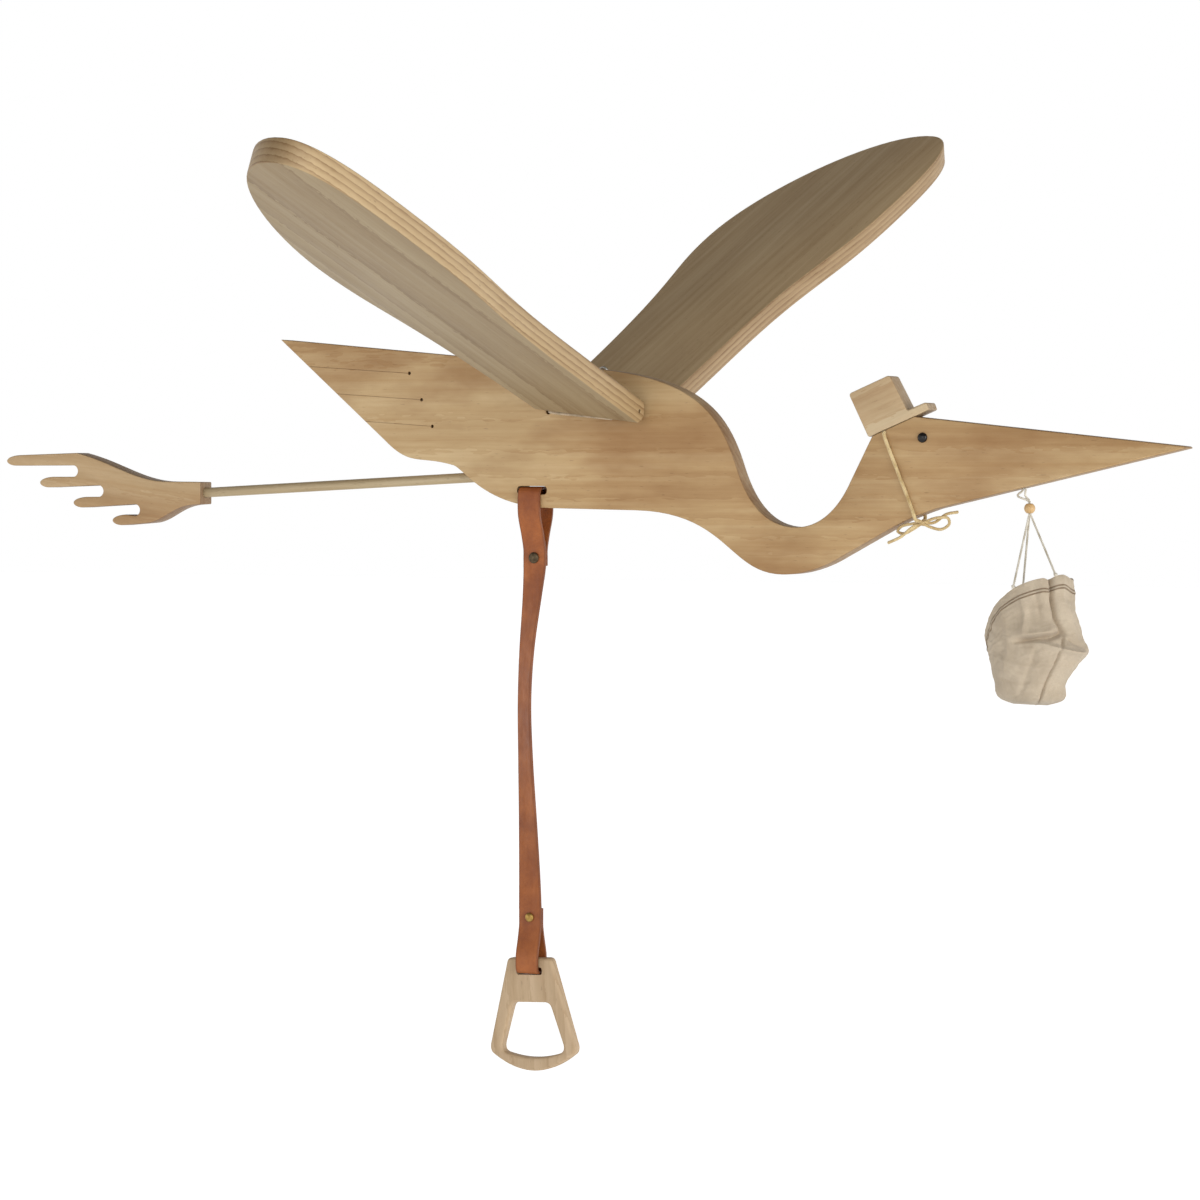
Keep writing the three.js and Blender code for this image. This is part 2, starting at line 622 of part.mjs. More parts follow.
// ---------------------------------------------------------------- the whole mobile

const mobile = new THREE.Group();
mobile.add(
  makeBody(),
  makeWing("wing_right", WING.right),
  makeWing("wing_left", WING.left),
  makeHingeCord(),
  makeLeg(),
  makeFoot(),
  makeHat(),
  makeHatCord(),
  makeEye("eye_right", -1),
  makeEye("eye_left", 1),
  makeStrap(),
  ...Object.entries(RIVETS).map(([name, rivet]) => makeRivet(name, rivet)),
  makeHandle(),
  makeBagCord(),
  makeBead(),
  makeBag(),
);

const hangingPoint = eyePoint(WING.right).add(eyePoint(WING.left)).multiplyScalar(0.5);
mobile.position.set(-hangingPoint.x, 0, -hangingPoint.z);

export default new THREE.Group().add(mobile);
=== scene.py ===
"""A flapping stork mobile: sawn pine boards, a dowel leg, a hat, a cloth bag and a pull strap.

Lengths are in metres. Most sizes are drawn in millimetres about the middle of the two wing
hinges, with x towards the beak and z upwards, and are brought into the frame by Datum.
"""

import json
import logging
import math
import random
from collections.abc import Callable, Iterator, Sequence
from contextlib import contextmanager
from dataclasses import dataclass, field, replace
from enum import Enum

import bpy
from mathutils import Euler, Matrix, Vector, noise


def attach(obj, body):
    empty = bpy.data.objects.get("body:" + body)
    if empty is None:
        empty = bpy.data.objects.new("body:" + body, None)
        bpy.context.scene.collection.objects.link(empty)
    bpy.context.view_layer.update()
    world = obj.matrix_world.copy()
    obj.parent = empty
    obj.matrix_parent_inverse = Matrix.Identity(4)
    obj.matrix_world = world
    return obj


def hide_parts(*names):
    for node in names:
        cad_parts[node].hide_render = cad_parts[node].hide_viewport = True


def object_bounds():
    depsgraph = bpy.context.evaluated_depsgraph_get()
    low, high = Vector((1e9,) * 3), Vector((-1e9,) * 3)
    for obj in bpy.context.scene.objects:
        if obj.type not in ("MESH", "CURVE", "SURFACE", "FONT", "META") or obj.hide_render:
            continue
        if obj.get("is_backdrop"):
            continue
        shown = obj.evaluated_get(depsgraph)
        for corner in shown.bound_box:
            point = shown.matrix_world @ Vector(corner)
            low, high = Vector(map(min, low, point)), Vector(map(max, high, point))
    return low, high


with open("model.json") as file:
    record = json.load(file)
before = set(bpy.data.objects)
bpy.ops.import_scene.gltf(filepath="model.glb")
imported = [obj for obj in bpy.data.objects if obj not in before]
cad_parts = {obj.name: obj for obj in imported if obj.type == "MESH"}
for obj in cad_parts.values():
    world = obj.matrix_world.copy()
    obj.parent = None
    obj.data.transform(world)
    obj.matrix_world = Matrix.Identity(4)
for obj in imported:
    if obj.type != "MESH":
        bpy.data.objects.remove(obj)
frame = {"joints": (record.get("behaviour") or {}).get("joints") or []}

log = logging.getLogger("stork")

MM = 0.001
Colour = tuple[float, float, float]
Flat = tuple[float, float]
Spot = tuple[float, float, float]
Piece = bpy.types.Object
Socket = bpy.types.NodeSocket


def srgb(*values: int) -> Colour:
    """The linear colour of display values.

    Args:
        *values: Red, green and blue, from 0 to 255.

    Returns:
        Linear red, green and blue.
    """
    shares = [value / 255 for value in values]
    return tuple(s / 12.92 if s <= 0.04045 else ((s + 0.055) / 1.055) ** 2.4 for s in shares)


def dim(colour: Colour, share: float) -> Colour:
    """A colour at a share of its brightness."""
    return tuple(share * part for part in colour)


def mm(x: float, y: float, z: float) -> Vector:
    """A point or a step in metres, from millimetres."""
    return Vector((x, y, z)) * MM


# ---------------------------------------------------------------- places and drawing


class Side(Enum):
    """A side of the bird, as the sign of y."""

    RIGHT = -1
    LEFT = 1


class Bond(Enum):
    """What is done with a second shape: it is cut away, or joined on."""

    CUT = "DIFFERENCE"
    JOIN = "UNION"


class Blend(Enum):
    """How one colour goes with another: laid over it, or multiplied by it."""

    OVER = "MIX"
    TIMES = "MULTIPLY"


class Datum:
    """The drawing's zero: the middle of the two wing hinges."""

    def __init__(self) -> None:
        """Reads the hinges' place from the frame's joints."""
        joints = {joint["child"]: joint for joint in frame["joints"]}
        right = Vector(joints["wing_right"]["pos_m"])
        left = Vector(joints["wing_left"]["pos_m"])
        self.origin: Vector = (right + left) / 2
        self.hinge_out: float = (left.y - right.y) / 2
        axis = Vector(joints["wing_left"]["axis"])
        self.drop: float = math.atan2(-axis.z, axis.x)

    def at(self, x: float, y: float, z: float) -> Vector:
        """A point drawn in millimetres about the hinges, in the frame."""
        return self.origin + mm(x, y, z)

    def upright(self, x: float = 0.0, z: float = 0.0, tilt: float = 0.0) -> Matrix:
        """The place of a board that stands in the bird's middle plane.

        Args:
            x: Millimetres towards the beak.
            z: Millimetres up.
            tilt: Degrees that the board is turned, nose up.

        Returns:
            A matrix from the board's own flat drawing to the frame.
        """
        turn = Matrix.Rotation(math.pi / 2, 4, "X") @ Matrix.Rotation(math.radians(tilt), 4, "Z")
        return Matrix.Translation(self.at(x, 0, z)) @ turn

    def wing(self, side: Side, lift: float) -> Matrix:
        """The place of a wing: its own x is the hinge line, and its own z the board's normal.

        Args:
            side: Which wing.
            lift: Degrees that its tip is raised.

        Returns:
            A matrix from the wing's own drawing to the frame.
        """
        turn = Euler((side.value * math.radians(lift), self.drop, 0)).to_matrix().to_4x4()
        place = self.origin + Vector((0, side.value * self.hinge_out, 0))
        return Matrix.Translation(place) @ turn


DATUM = Datum()


class Outline:
    """A closed line drawn stretch by stretch, in millimetres."""

    STEPS = 22
    CLOSEST = 0.55
    SAME = 0.05

    def __init__(self, x: float, y: float) -> None:
        """Starts the line at a point."""
        self.points: list[Vector] = [Vector((x, y))]
        self.ends: set[int] = {0}

    def line(self, x: float, y: float) -> "Outline":
        """Draws a straight stretch."""
        return self.add([Vector((x, y))])

    def add(self, points: list[Vector]) -> "Outline":
        """Adds a stretch, whose last point is kept whatever lies near it.

        Args:
            points: The stretch's points after its start.

        Returns:
            The outline itself.
        """
        self.points += points
        self.ends.add(len(self.points) - 1)
        return self

    def quad(self, pull: Flat, end: Flat) -> "Outline":
        """Draws a curve with one control point.

        Args:
            pull: The control point.
            end: Where the curve ends.

        Returns:
            The outline itself.
        """
        start, middle, stop = self.points[-1], Vector(pull), Vector(end)
        shares = [step / self.STEPS for step in range(1, self.STEPS + 1)]
        return self.add([start * (1 - t) ** 2 + middle * 2 * t * (1 - t) + stop * t**2 for t in shares])

    def bezier(self, first: Flat, second: Flat, end: Flat) -> "Outline":
        """Draws a curve with two control points.

        Args:
            first: The first control point.
            second: The second.
            end: Where the curve ends.

        Returns:
            The outline itself.
        """
        a, b, c, d = self.points[-1], Vector(first), Vector(second), Vector(end)
        pairs = [(1 - step / self.STEPS, step / self.STEPS) for step in range(1, self.STEPS + 1)]
        return self.add([a * s**3 + b * 3 * s * s * t + c * 3 * s * t * t + d * t**3 for s, t in pairs])

    def arc(self, centre: Flat, radius: float, start: float, end: float) -> "Outline":
        """Draws a round stretch between two angles in degrees.

        Args:
            centre: The circle's middle.
            radius: Its radius.
            start: The first angle.
            end: The last angle.

        Returns:
            The outline itself.
        """
        angles = [math.radians(start + (end - start) * step / self.STEPS) for step in range(self.STEPS + 1)]
        middle = Vector(centre)
        return self.add([middle + radius * Vector((math.cos(a), math.sin(a))) for a in angles])

    def corners(self) -> list[Vector]:
        """The points in order, thinned where they crowd, with every stretch's end kept.

        Returns:
            The kept points.
        """
        kept: list[Vector] = []
        loose = False
        for index, point in enumerate(self.points):
            crowded = bool(kept) and (point - kept[-1]).length < self.CLOSEST
            if crowded and index not in self.ends:
                continue
            if crowded and (loose or (point - kept[-1]).length < self.SAME):
                kept.pop()
            kept.append(point)
            loose = index not in self.ends
        if (kept[0] - kept[-1]).length < self.SAME:
            kept.pop()
        return kept


def rounded(corners: Sequence[Spot]) -> Outline:
    """An outline through corners x, y, rounding, each softened by its rounding.

    Args:
        corners: The corners in order, with how far from each the rounding starts.

    Returns:
        The closed outline.
    """
    outline: Outline | None = None
    for index, (x, y, rounding) in enumerate(corners):
        corner = Vector((x, y))
        ends = []
        for neighbour in (corners[index - 1], corners[(index + 1) % len(corners)]):
            away = Vector(neighbour[:2]) - corner
            ends.append(corner + away.normalized() * rounding)
        if outline is None:
            outline = Outline(*ends[0])
        else:
            outline.line(*ends[0])
        outline.quad((x, y), tuple(ends[1]))
    assert outline is not None
    return outline


def smooth_line(points: list[Vector], count: int) -> list[Vector]:
    """Evenly counted points on a centripetal Catmull-Rom line.

    Args:
        points: The points that the line goes through.
        count: How many spans the result has.

    Returns:
        count + 1 points from the first point to the last.
    """
    spans = len(points) - 1
    result = []
    for step in range(count + 1):
        place = step / count * spans
        span = min(int(place), spans - 1)
        t = place - span
        p1, p2 = points[span], points[span + 1]
        p0 = points[span - 1] if span > 0 else p1 * 2 - p2
        p3 = points[span + 2] if span + 2 <= spans else p2 * 2 - p1
        d0, d1, d2 = (max((b - a).length ** 0.5, 1e-6) for a, b in ((p0, p1), (p1, p2), (p2, p3)))
        m1 = ((p1 - p0) / d0 - (p2 - p0) / (d0 + d1) + (p2 - p1) / d1) * d1
        m2 = ((p2 - p1) / d1 - (p3 - p1) / (d1 + d2) + (p3 - p2) / d2) * d1
        c2 = -3 * p1 + 3 * p2 - 2 * m1 - m2
        c3 = 2 * p1 - 2 * p2 + m1 + m2
        result.append(p1 + m1 * t + c2 * t * t + c3 * t**3)
    return result


def spaced(points: list[Vector], gap: float) -> list[Vector]:
    """The same line with its points a steady distance apart.

    Args:
        points: A fine line.
        gap: The wanted distance.

    Returns:
        Points along the line, ends included.
    """
    lengths = [0.0]
    for a, b in zip(points, points[1:]):
        lengths.append(lengths[-1] + (b - a).length)
    count = max(2, round(lengths[-1] / gap))
    result, index = [], 0
    for step in range(count + 1):
        target = lengths[-1] * step / count
        while index < len(points) - 2 and lengths[index + 1] < target:
            index += 1
        span = max(lengths[index + 1] - lengths[index], 1e-9)
        result.append(points[index].lerp(points[index + 1], (target - lengths[index]) / span))
    return result


def ahead_at(line: list[Vector], index: int) -> Vector:
    """The direction that a line runs in at one of its points."""
    return (line[min(index + 1, len(line) - 1)] - line[max(index - 1, 0)]).normalized()


# ---------------------------------------------------------------- modelling


def deselect() -> None:
    """Leaves nothing selected."""
    bpy.ops.object.select_all(action="DESELECT")


def pick(*pieces: Piece) -> None:
    """Selects the pieces and makes the first the active one.

    Args:
        *pieces: The objects.
    """
    deselect()
    for piece in pieces:
        piece.select_set(True)
    bpy.context.view_layer.objects.active = pieces[0]


def named(name: str) -> Piece:
    """Names the object just made, and its data.

    Args:
        name: The name.

    Returns:
        The object.
    """
    piece = bpy.context.object
    piece.name = name
    piece.data.name = name
    return piece


@contextmanager
def editing(everything: bool = True) -> Iterator[None]:
    """Opens the active mesh for editing, with everything selected or as it is, and closes it.

    Args:
        everything: Whether all of it is selected.

    Yields:
        Nothing, while the mesh is open.
    """
    bpy.ops.object.mode_set(mode="EDIT")
    if everything:
        bpy.ops.mesh.select_all(action="SELECT")
    yield
    bpy.ops.object.mode_set(mode="OBJECT")


def settle(piece: Piece, place: Matrix = Matrix.Identity(4)) -> Piece:
    """Moves a piece to its place and applies that to its mesh.

    Args:
        piece: The object.
        place: Where it goes from where it is.

    Returns:
        The piece.
    """
    pick(piece)
    piece.matrix_world = place @ piece.matrix_world
    bpy.ops.object.transform_apply(location=True, rotation=True, scale=True)
    return piece


def modify(piece: Piece, kind: str, **settings: object) -> None:
    """Adds a modifier with the settings and applies it.

    Args:
        piece: The object.
        kind: The modifier's type, such as BEVEL.
        **settings: The modifier's own properties.
    """
    pick(piece)
    modifier = piece.modifiers.new(kind.title(), kind)
    for name, value in settings.items():
        setattr(modifier, name, value)
    bpy.ops.object.modifier_apply(modifier=modifier.name)


def combine(piece: Piece, other: Piece, bond: Bond = Bond.CUT) -> None:
    """Cuts another shape from the piece, or joins it on, and takes the other away."""
    modify(piece, "BOOLEAN", object=other, operation=bond.value, solver="EXACT")
    bpy.data.objects.remove(other)


def saw(name: str, outline: Outline, thickness: float) -> Piece:
    """Saws a board: a flat blank on the outline, pulled up to its thickness.

    Args:
        name: The piece's name.
        outline: The line to saw, in millimetres.
        thickness: The board's thickness, in millimetres.

    Returns:
        The board, centred on its own middle plane.
    """
    corners = outline.corners()
    deselect()
    bpy.ops.mesh.primitive_circle_add(vertices=len(corners), radius=0.1, fill_type="NGON")
    board = named(name)
    for vertex, corner in zip(board.data.vertices, corners):
        vertex.co = mm(*corner, -thickness / 2)
    with editing():
        bpy.ops.mesh.extrude_region_move(TRANSFORM_OT_translate={"value": (0, 0, thickness * MM)})
        bpy.ops.mesh.select_all(action="SELECT")
        bpy.ops.mesh.normals_make_consistent(inside=False)
    return board


def cut_slot(board: Piece, x: Flat, y: Flat, corner: float, deep: float) -> None:
    """Cuts a slot with rounded corners through a board.

    Args:
        board: The board, in its own flat drawing.
        x: The slot's least and most x, in millimetres.
        y: Its least and most y.
        corner: Its corners' rounding.
        deep: How thick a block it is cut with.
    """
    corners = [(x[0], y[0], corner), (x[1], y[0], corner), (x[1], y[1], corner), (x[0], y[1], corner)]
    combine(board, saw("cutter", rounded(corners), deep))


def between(start: Vector, end: Vector) -> Matrix:
    """The place halfway between two points, with its z from the first to the second."""
    turn = Vector((0, 0, 1)).rotation_difference(end - start).to_matrix().to_4x4()
    return Matrix.Translation((start + end) / 2) @ turn


def rod(name: str, start: Vector, end: Vector, radius: float, sides: int = 24) -> Piece:
    """A round bar between two points.

    Args:
        name: The piece's name.
        start: One end, in metres.
        end: The other end, in metres.
        radius: The bar's radius, in millimetres.
        sides: Number of sides.

    Returns:
        The bar, with its place in its mesh.
    """
    deselect()
    bpy.ops.mesh.primitive_cylinder_add(
        vertices=sides, radius=radius * MM, depth=(end - start).length,
    )
    return settle(named(name), between(start, end))


def drill(piece: Piece, start: Spot, end: Spot, radius: float, sides: int = 24) -> None:
    """Drills a round hole between two points.

    Args:
        piece: The object.
        start: One end, in millimetres.
        end: The other end, in millimetres.
        radius: The hole's radius, in millimetres.
        sides: Number of sides.
    """
    combine(piece, rod("cutter", mm(*start), mm(*end), radius, sides))


def ease(piece: Piece, width: float, segments: int = 3, angle: float = 38.0) -> None:
    """Rounds every edge that is sharper than the angle, as sanding does.

    Args:
        piece: The object.
        width: How far from the edge the rounding starts, in millimetres.
        segments: Steps across the rounding.
        angle: Degrees between faces from which an edge counts as sharp.
    """
    modify(
        piece, "BEVEL", width=width * MM, segments=segments, limit_method="ANGLE",
        angle_limit=math.radians(angle), use_clamp_overlap=False, miter_outer="MITER_ARC",
    )


def cut_sheet(
    name: str, columns: int, rows: int, spot: Callable[[int, int], Vector],
    flat: Callable[[int, int], Flat],
) -> Piece:
    """A sheet of squares, laid in space point by point.

    Args:
        name: The piece's name.
        columns: Squares along the sheet.
        rows: Squares across it.
        spot: Gives the place of a column and row in the frame.
        flat: Gives their place on the flat material, in metres.

    Returns:
        The sheet.
    """
    deselect()
    bpy.ops.mesh.primitive_grid_add(x_subdivisions=columns, y_subdivisions=rows, size=1.0)
    sheet = named(name)
    mesh = sheet.data
    places = [(round((v.co.x + 0.5) * columns), round((v.co.y + 0.5) * rows)) for v in mesh.vertices]
    for loop, corner in zip(mesh.loops, mesh.uv_layers.active.data):
        corner.uv = flat(*places[loop.vertex_index])
    for vertex, place in zip(mesh.vertices, places):
        vertex.co = spot(*place)
    return sheet


def fuse(name: str, pieces: list[Piece]) -> Piece:
    """Joins meshes into one object of the given name.

    Args:
        name: The whole's name.
        pieces: The meshes.

    Returns:
        The whole.
    """
    pick(*pieces)
    bpy.ops.object.join()
    return named(name)


def finish_piece(
    piece: Piece, material: bpy.types.Material, slot: str, body: str, *nodes: str, smooth: float = 32.0,
) -> None:
    """Gives a piece its material, its shading and its body.

    Args:
        piece: The object.
        material: Its material.
        slot: The record's material slot; not used.
        body: The body it rides on.
        *nodes: The solids that it stands for.
        smooth: Degrees up to which an edge is shaded smooth.
    """
    pick(piece)
    bpy.ops.object.shade_smooth_by_angle(angle=math.radians(smooth))
    piece.data.materials.clear()
    piece.data.materials.append(material)
    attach(piece, body)
    if nodes:
        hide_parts(*nodes)
    log.info("%s: %d faces, for %s", piece.name, len(piece.data.polygons), ", ".join(nodes) or "trim")


# ---------------------------------------------------------------- shader nodes


class Wiring:
    """Lays out and wires the shader nodes of one material or world."""

    def __init__(self, owner: bpy.types.ID) -> None:
        """Clears the owner's nodes.

        Args:
            owner: The material or world.
        """
        owner.use_nodes = True
        self.tree = owner.node_tree
        self.tree.nodes.clear()

    def node(self, kind: str, feeds: dict | None = None, **settings: object) -> bpy.types.Node:
        """Adds a node.

        Args:
            kind: The node's type, without its ShaderNode prefix.
            feeds: Input name or number to a value or a socket.
            **settings: The node's own properties.

        Returns:
            The node.
        """
        node = self.tree.nodes.new("ShaderNode" + kind)
        for name, value in settings.items():
            setattr(node, name, value)
        for name, value in (feeds or {}).items():
            self.feed(node.inputs[name], value)
        return node

    def feed(self, socket: Socket, value: object) -> None:
        """Wires a socket in, or sets a plain value.

        Args:
            socket: The input.
            value: A socket to wire in, or a number, a colour or a vector.
        """
        if isinstance(value, Socket):
            self.tree.links.new(value, socket)
        elif isinstance(value, tuple) and len(value) == 3 and socket.type == "RGBA":
            socket.default_value = (*value, 1.0)
        else:
            socket.default_value = value

    def span(
        self, value: Socket, low: float, high: float, to_low: float = 0.0, to_high: float = 1.0,
    ) -> Socket:
        """A value stretched from one span to another, and held at its ends."""
        feeds = {"Value": value, "From Min": low, "From Max": high, "To Min": to_low, "To Max": to_high}
        return self.node("MapRange", feeds).outputs["Result"]

    def axis(self, vector: Socket, name: str) -> Socket:
        """One of a vector's parts: X, Y or Z."""
        return self.node("SeparateXYZ", {"Vector": vector}).outputs[name]


class Bench(Wiring):
    """The nodes of one procedural material."""

    def __init__(self, name: str, place: Matrix = Matrix.Identity(4)) -> None:
        """Starts a material with one principled surface.

        Args:
            name: The material's name.
            place: A matrix in the frame, whose own axes the pattern follows.
        """
        self.material = bpy.data.materials.new(name)
        super().__init__(self.material)
        self.surface = self.node("BsdfPrincipled")
        self.node("OutputMaterial", {"Surface": self.surface.outputs["BSDF"]})
        self.place = place
        self.source = self.node("TexCoord").outputs
        turn = tuple(place.to_euler("XYZ"))
        feeds = {"Vector": self.source["Object"], "Location": tuple(place.translation), "Rotation": turn}
        self.axes = self.node("Mapping", feeds, vector_type="TEXTURE").outputs["Vector"]

    def set(self, **inputs: object) -> None:
        """Feeds the surface's sockets, with underscores for spaces in their names."""
        for name, value in inputs.items():
            self.feed(self.surface.inputs[name.replace("_", " ")], value)

    def stretch(self, vector: Socket, scale: Spot) -> Socket:
        """A vector scaled along its axes."""
        return self.node("Mapping", {"Vector": vector, "Scale": scale}).outputs["Vector"]

    def noise(
        self, vector: Socket, scale: float | Spot, detail: float = 2.0, rough: float = 0.5,
    ) -> Socket:
        """A cloudy value from 0 to 1, at one scale or one for each axis.

        Args:
            vector: Where it is sampled.
            scale: How fine the clouds are, along all axes or along each.
            detail: How many finer layers it has.
            rough: How strong the finer layers are.

        Returns:
            The value.
        """
        if isinstance(scale, tuple):
            vector, scale = self.stretch(vector, scale), 1.0
        feeds = {"Vector": vector, "Scale": scale, "Detail": detail, "Roughness": rough}
        return self.node("TexNoise", feeds).outputs["Fac"]

    def wave(self, vector: Socket, gap: float, feeds: dict, **settings: str) -> Socket:
        """Rings or bands that lie a gap apart, as a value from 0 to 1."""
        feeds = {"Vector": vector, "Scale": math.tau / (20 * gap), **feeds}
        return self.node("TexWave", feeds, **settings).outputs["Fac"]

    def maths(self, operation: str, *values: object) -> Socket:
        """The result of a sum on one, two or three values."""
        return self.node("Math", dict(enumerate(values)), operation=operation).outputs["Value"]

    def size(self, *values: object) -> Socket:
        """How far a value, or the difference between two, is from 0."""
        value = self.maths("SUBTRACT", *values) if len(values) == 2 else values[0]
        return self.maths("ABSOLUTE", value)

    def ramp(self, value: Socket, stops: list[tuple[float, Colour]]) -> Socket:
        """A colour picked along a line of stops.

        Args:
            value: What the colour follows.
            stops: Places from 0 to 1, and the colour at each.

        Returns:
            The colour.
        """
        node = self.node("ValToRGB", {"Fac": value})
        line = node.color_ramp.elements
        while len(line) < len(stops):
            line.new(0.5)
        for element, (place, colour) in zip(line, stops):
            element.position = place
            element.color = (*colour, 1.0)
        return node.outputs["Color"]

    def mix(self, share: object, first: object, second: object, way: Blend = Blend.OVER) -> Socket:
        """Two colours mixed."""
        feeds = {"Factor": share, 6: first, 7: second}
        return self.node("Mix", feeds, data_type="RGBA", blend_type=way.value).outputs[2]

    def tint(
        self, colour: object, towards: object, value: Socket, low: float, high: float, most: float = 1.0,
        way: Blend = Blend.OVER,
    ) -> Socket:
        """A colour mixed towards another.

        Args:
            colour: The colour.
            towards: The other colour.
            value: What the mixture follows.
            low: The value up to which none of the other is mixed in.
            high: The value from which the most is.
            most: The most of it, from 0 to 1.
            way: How the colours are mixed.

        Returns:
            The mixed colour.
        """
        return self.mix(self.span(value, low, high, 0.0, most), colour, towards, way)

    def relief(self, height: Socket, depth: float, below: Socket | None = None) -> Socket:
        """A bumped normal from a height of 0 to 1 and its true depth in metres.

        Args:
            height: The height.
            depth: The depth.
            below: A bumped normal that this one lies over.

        Returns:
            The normal.
        """
        feeds = {"Height": height, "Distance": depth, "Strength": 1.0}
        if below is not None:
            feeds["Normal"] = below
        return self.node("Bump", feeds).outputs["Normal"]


# ---------------------------------------------------------------- finishes


@dataclass(frozen=True)
class Finish:
    """A finish for pieces, wired by its paint method."""

    def material(self, name: str, place: Matrix = Matrix.Identity(4)) -> bpy.types.Material:
        """Makes the finish for one piece.

        Args:
            name: The material's name.
            place: The piece's own axes in the frame.

        Returns:
            The material.
        """
        bench = Bench(name, place)
        self.paint(bench)
        return bench.material

    def paint(self, bench: Bench) -> None:
        """Wires the finish."""
        raise NotImplementedError


@dataclass(frozen=True)
class Pine(Finish):
    """Sawn and sanded softwood, with rings, fibres, soft bands and faint stains.

    The board's x is along its fibres and its z through its thickness. The rings lie about the
    middle of the trunk, which is given by how far it lies across the board and how far below
    it. Faces and sawn edges are multiplied by their own tints, which paint light and shade on
    each side of the board for how it is lit, and the rings show less on the faces.
    """

    pale: Colour
    middle: Colour
    deep: Colour
    face: Colour = (1.0, 1.0, 1.0)
    edge: Colour = (1.0, 1.0, 1.0)
    face_rings: float = 1.0
    half: float = 0.009
    skin: Flat = (0.0006, 0.0001)
    end_grain: float = 0.0
    trunk: Flat = (0.02, -0.07)
    ring_gap: float = 0.0052
    rings: float = 0.35
    bands: float = 0.55
    streaks: float = 0.3
    fibres: float = 0.16
    stain: float = 0.3
    waver: float = 4.0
    crisp: float = 2.6
    roughness: float = 0.52

    def paint(self, bench: Bench) -> None:
        """Wires the figure's tone, stains, painted light and shade, end grain and flecks.

        Args:
            bench: The material's bench.
        """
        grain = bench.axes
        about = bench.node("VectorMath", {0: grain, 1: (0.0, -self.trunk[0], -self.trunk[1])})
        rings = bench.wave(
            bench.stretch(about.outputs["Vector"], (0.16, 1, 1)), self.ring_gap,
            {"Distortion": self.waver, "Detail": 1.0, "Detail Scale": 9.0, "Detail Roughness": 0.4},
            wave_type="RINGS", rings_direction="X", wave_profile="SAW",
        )
        through = bench.size(bench.axis(grain, "Z"))
        on_face = bench.span(through, self.half - self.skin[0], self.half - self.skin[1])
        late = bench.maths("POWER", rings, self.crisp)
        late = bench.maths("MULTIPLY", late, bench.span(on_face, 0.0, 1.0, 1.0, self.face_rings))
        bands = bench.noise(grain, (2.2, 26, 26), 3.0, 0.55)
        streaks = bench.noise(grain, (5, 260, 260), 3.0, 0.6)
        fibres = bench.noise(grain, (60, 1500, 1500), 2.0, 0.6)
        layers = (
            (bench.span(bands, 0.3, 0.7), self.bands), (late, self.rings),
            (bench.span(streaks, 0.3, 0.72), self.streaks), (fibres, self.fibres),
        )
        tone = 0.0
        for layer, strength in layers:
            tone = bench.maths("MULTIPLY_ADD", layer, strength, tone)
        tone = bench.maths("DIVIDE", tone, sum(strength for _, strength in layers))
        colour = bench.ramp(tone, [(0.12, self.pale), (0.5, self.middle), (0.92, self.deep)])
        clouds = bench.noise(grain, (8, 19, 19), 4.0, 0.55)
        colour = bench.tint(colour, self.deep, clouds, 0.44, 0.7, self.stain)
        # Painted light and shade: faces and sawn edges are darkened by their own tints for how light falls
        # on them.
        colour = bench.mix(1.0, colour, bench.mix(on_face, self.edge, self.face), Blend.TIMES)
        fibre = bench.place.to_3x3() @ Vector((1, 0, 0))
        feeds = {0: bench.source["Normal"], 1: fibre}
        endwise = bench.node("VectorMath", feeds, operation="DOT_PRODUCT").outputs["Value"]
        colour = bench.tint(colour, dim(self.deep, 0.5), bench.size(endwise), 0.35, 0.95, self.end_grain)
        specks = bench.noise(grain, (130, 900, 900), 1.0)
        bench.set(
            Base_Color=bench.tint(colour, dim(self.deep, 0.45), specks, 0.7, 0.78, 0.35),
            Roughness=bench.span(streaks, 0.25, 0.75, self.roughness - 0.06, self.roughness + 0.08),
            Normal=bench.relief(bench.maths("MULTIPLY_ADD", late, 0.4, fibres), 0.00007),
            Specular_IOR_Level=0.4,
        )


@dataclass(frozen=True)
class Twine(Finish):
    """Twisted cotton, its strands modelled and its fibres in the surface."""

    colour: Colour
    shade: Colour

    def paint(self, bench: Bench) -> None:
        """Wires the patches and the fuzz.

        Args:
            bench: The material's bench.
        """
        fuzz = bench.noise(bench.axes, 2600.0, 3.0, 0.65)
        colour = bench.tint(self.colour, self.shade, bench.noise(bench.axes, 120.0), 0.35, 0.7)
        colour = bench.tint(colour, self.shade, fuzz, 0.5, 0.8, 0.3, Blend.TIMES)
        bench.set(
            Base_Color=colour, Normal=bench.relief(fuzz, 0.00012), Roughness=0.88, Sheen_Weight=0.25,
            Specular_IOR_Level=0.25,
        )


@dataclass(frozen=True)
class Leather(Finish):
    """Pebbled strap leather, darker at its cut edges. The piece's flat coordinates run along it."""

    colour: Colour
    deep: Colour
    width: float

    def paint(self, bench: Bench) -> None:
        """Wires the clouds, the creases, the pebbles and the dark edges.

        Args:
            bench: The material's bench.
        """
        pebbles = bench.node("TexVoronoi", {"Vector": bench.axes, "Scale": 950.0}).outputs["Distance"]
        creases = bench.noise(bench.axes, (260, 260, 90), 4.0, 0.6)
        clouds = bench.noise(bench.axes, 38.0, 4.0, 0.6)
        off_middle = bench.size(bench.axis(bench.source["UV"], "Y"), self.width / 2)
        colour = bench.tint(self.colour, self.deep, clouds, 0.32, 0.7)
        colour = bench.tint(colour, self.deep, creases, 0.5, 0.75, 0.35)
        edges = (self.width * 0.42, self.width * 0.5, 0.6)
        bench.set(
            Base_Color=bench.tint(colour, dim(self.deep, 0.45), off_middle, *edges),
            Roughness=bench.span(creases, 0.3, 0.7, 0.42, 0.6),
            Normal=bench.relief(creases, 0.0003, bench.relief(pebbles, 0.00012)),
        )


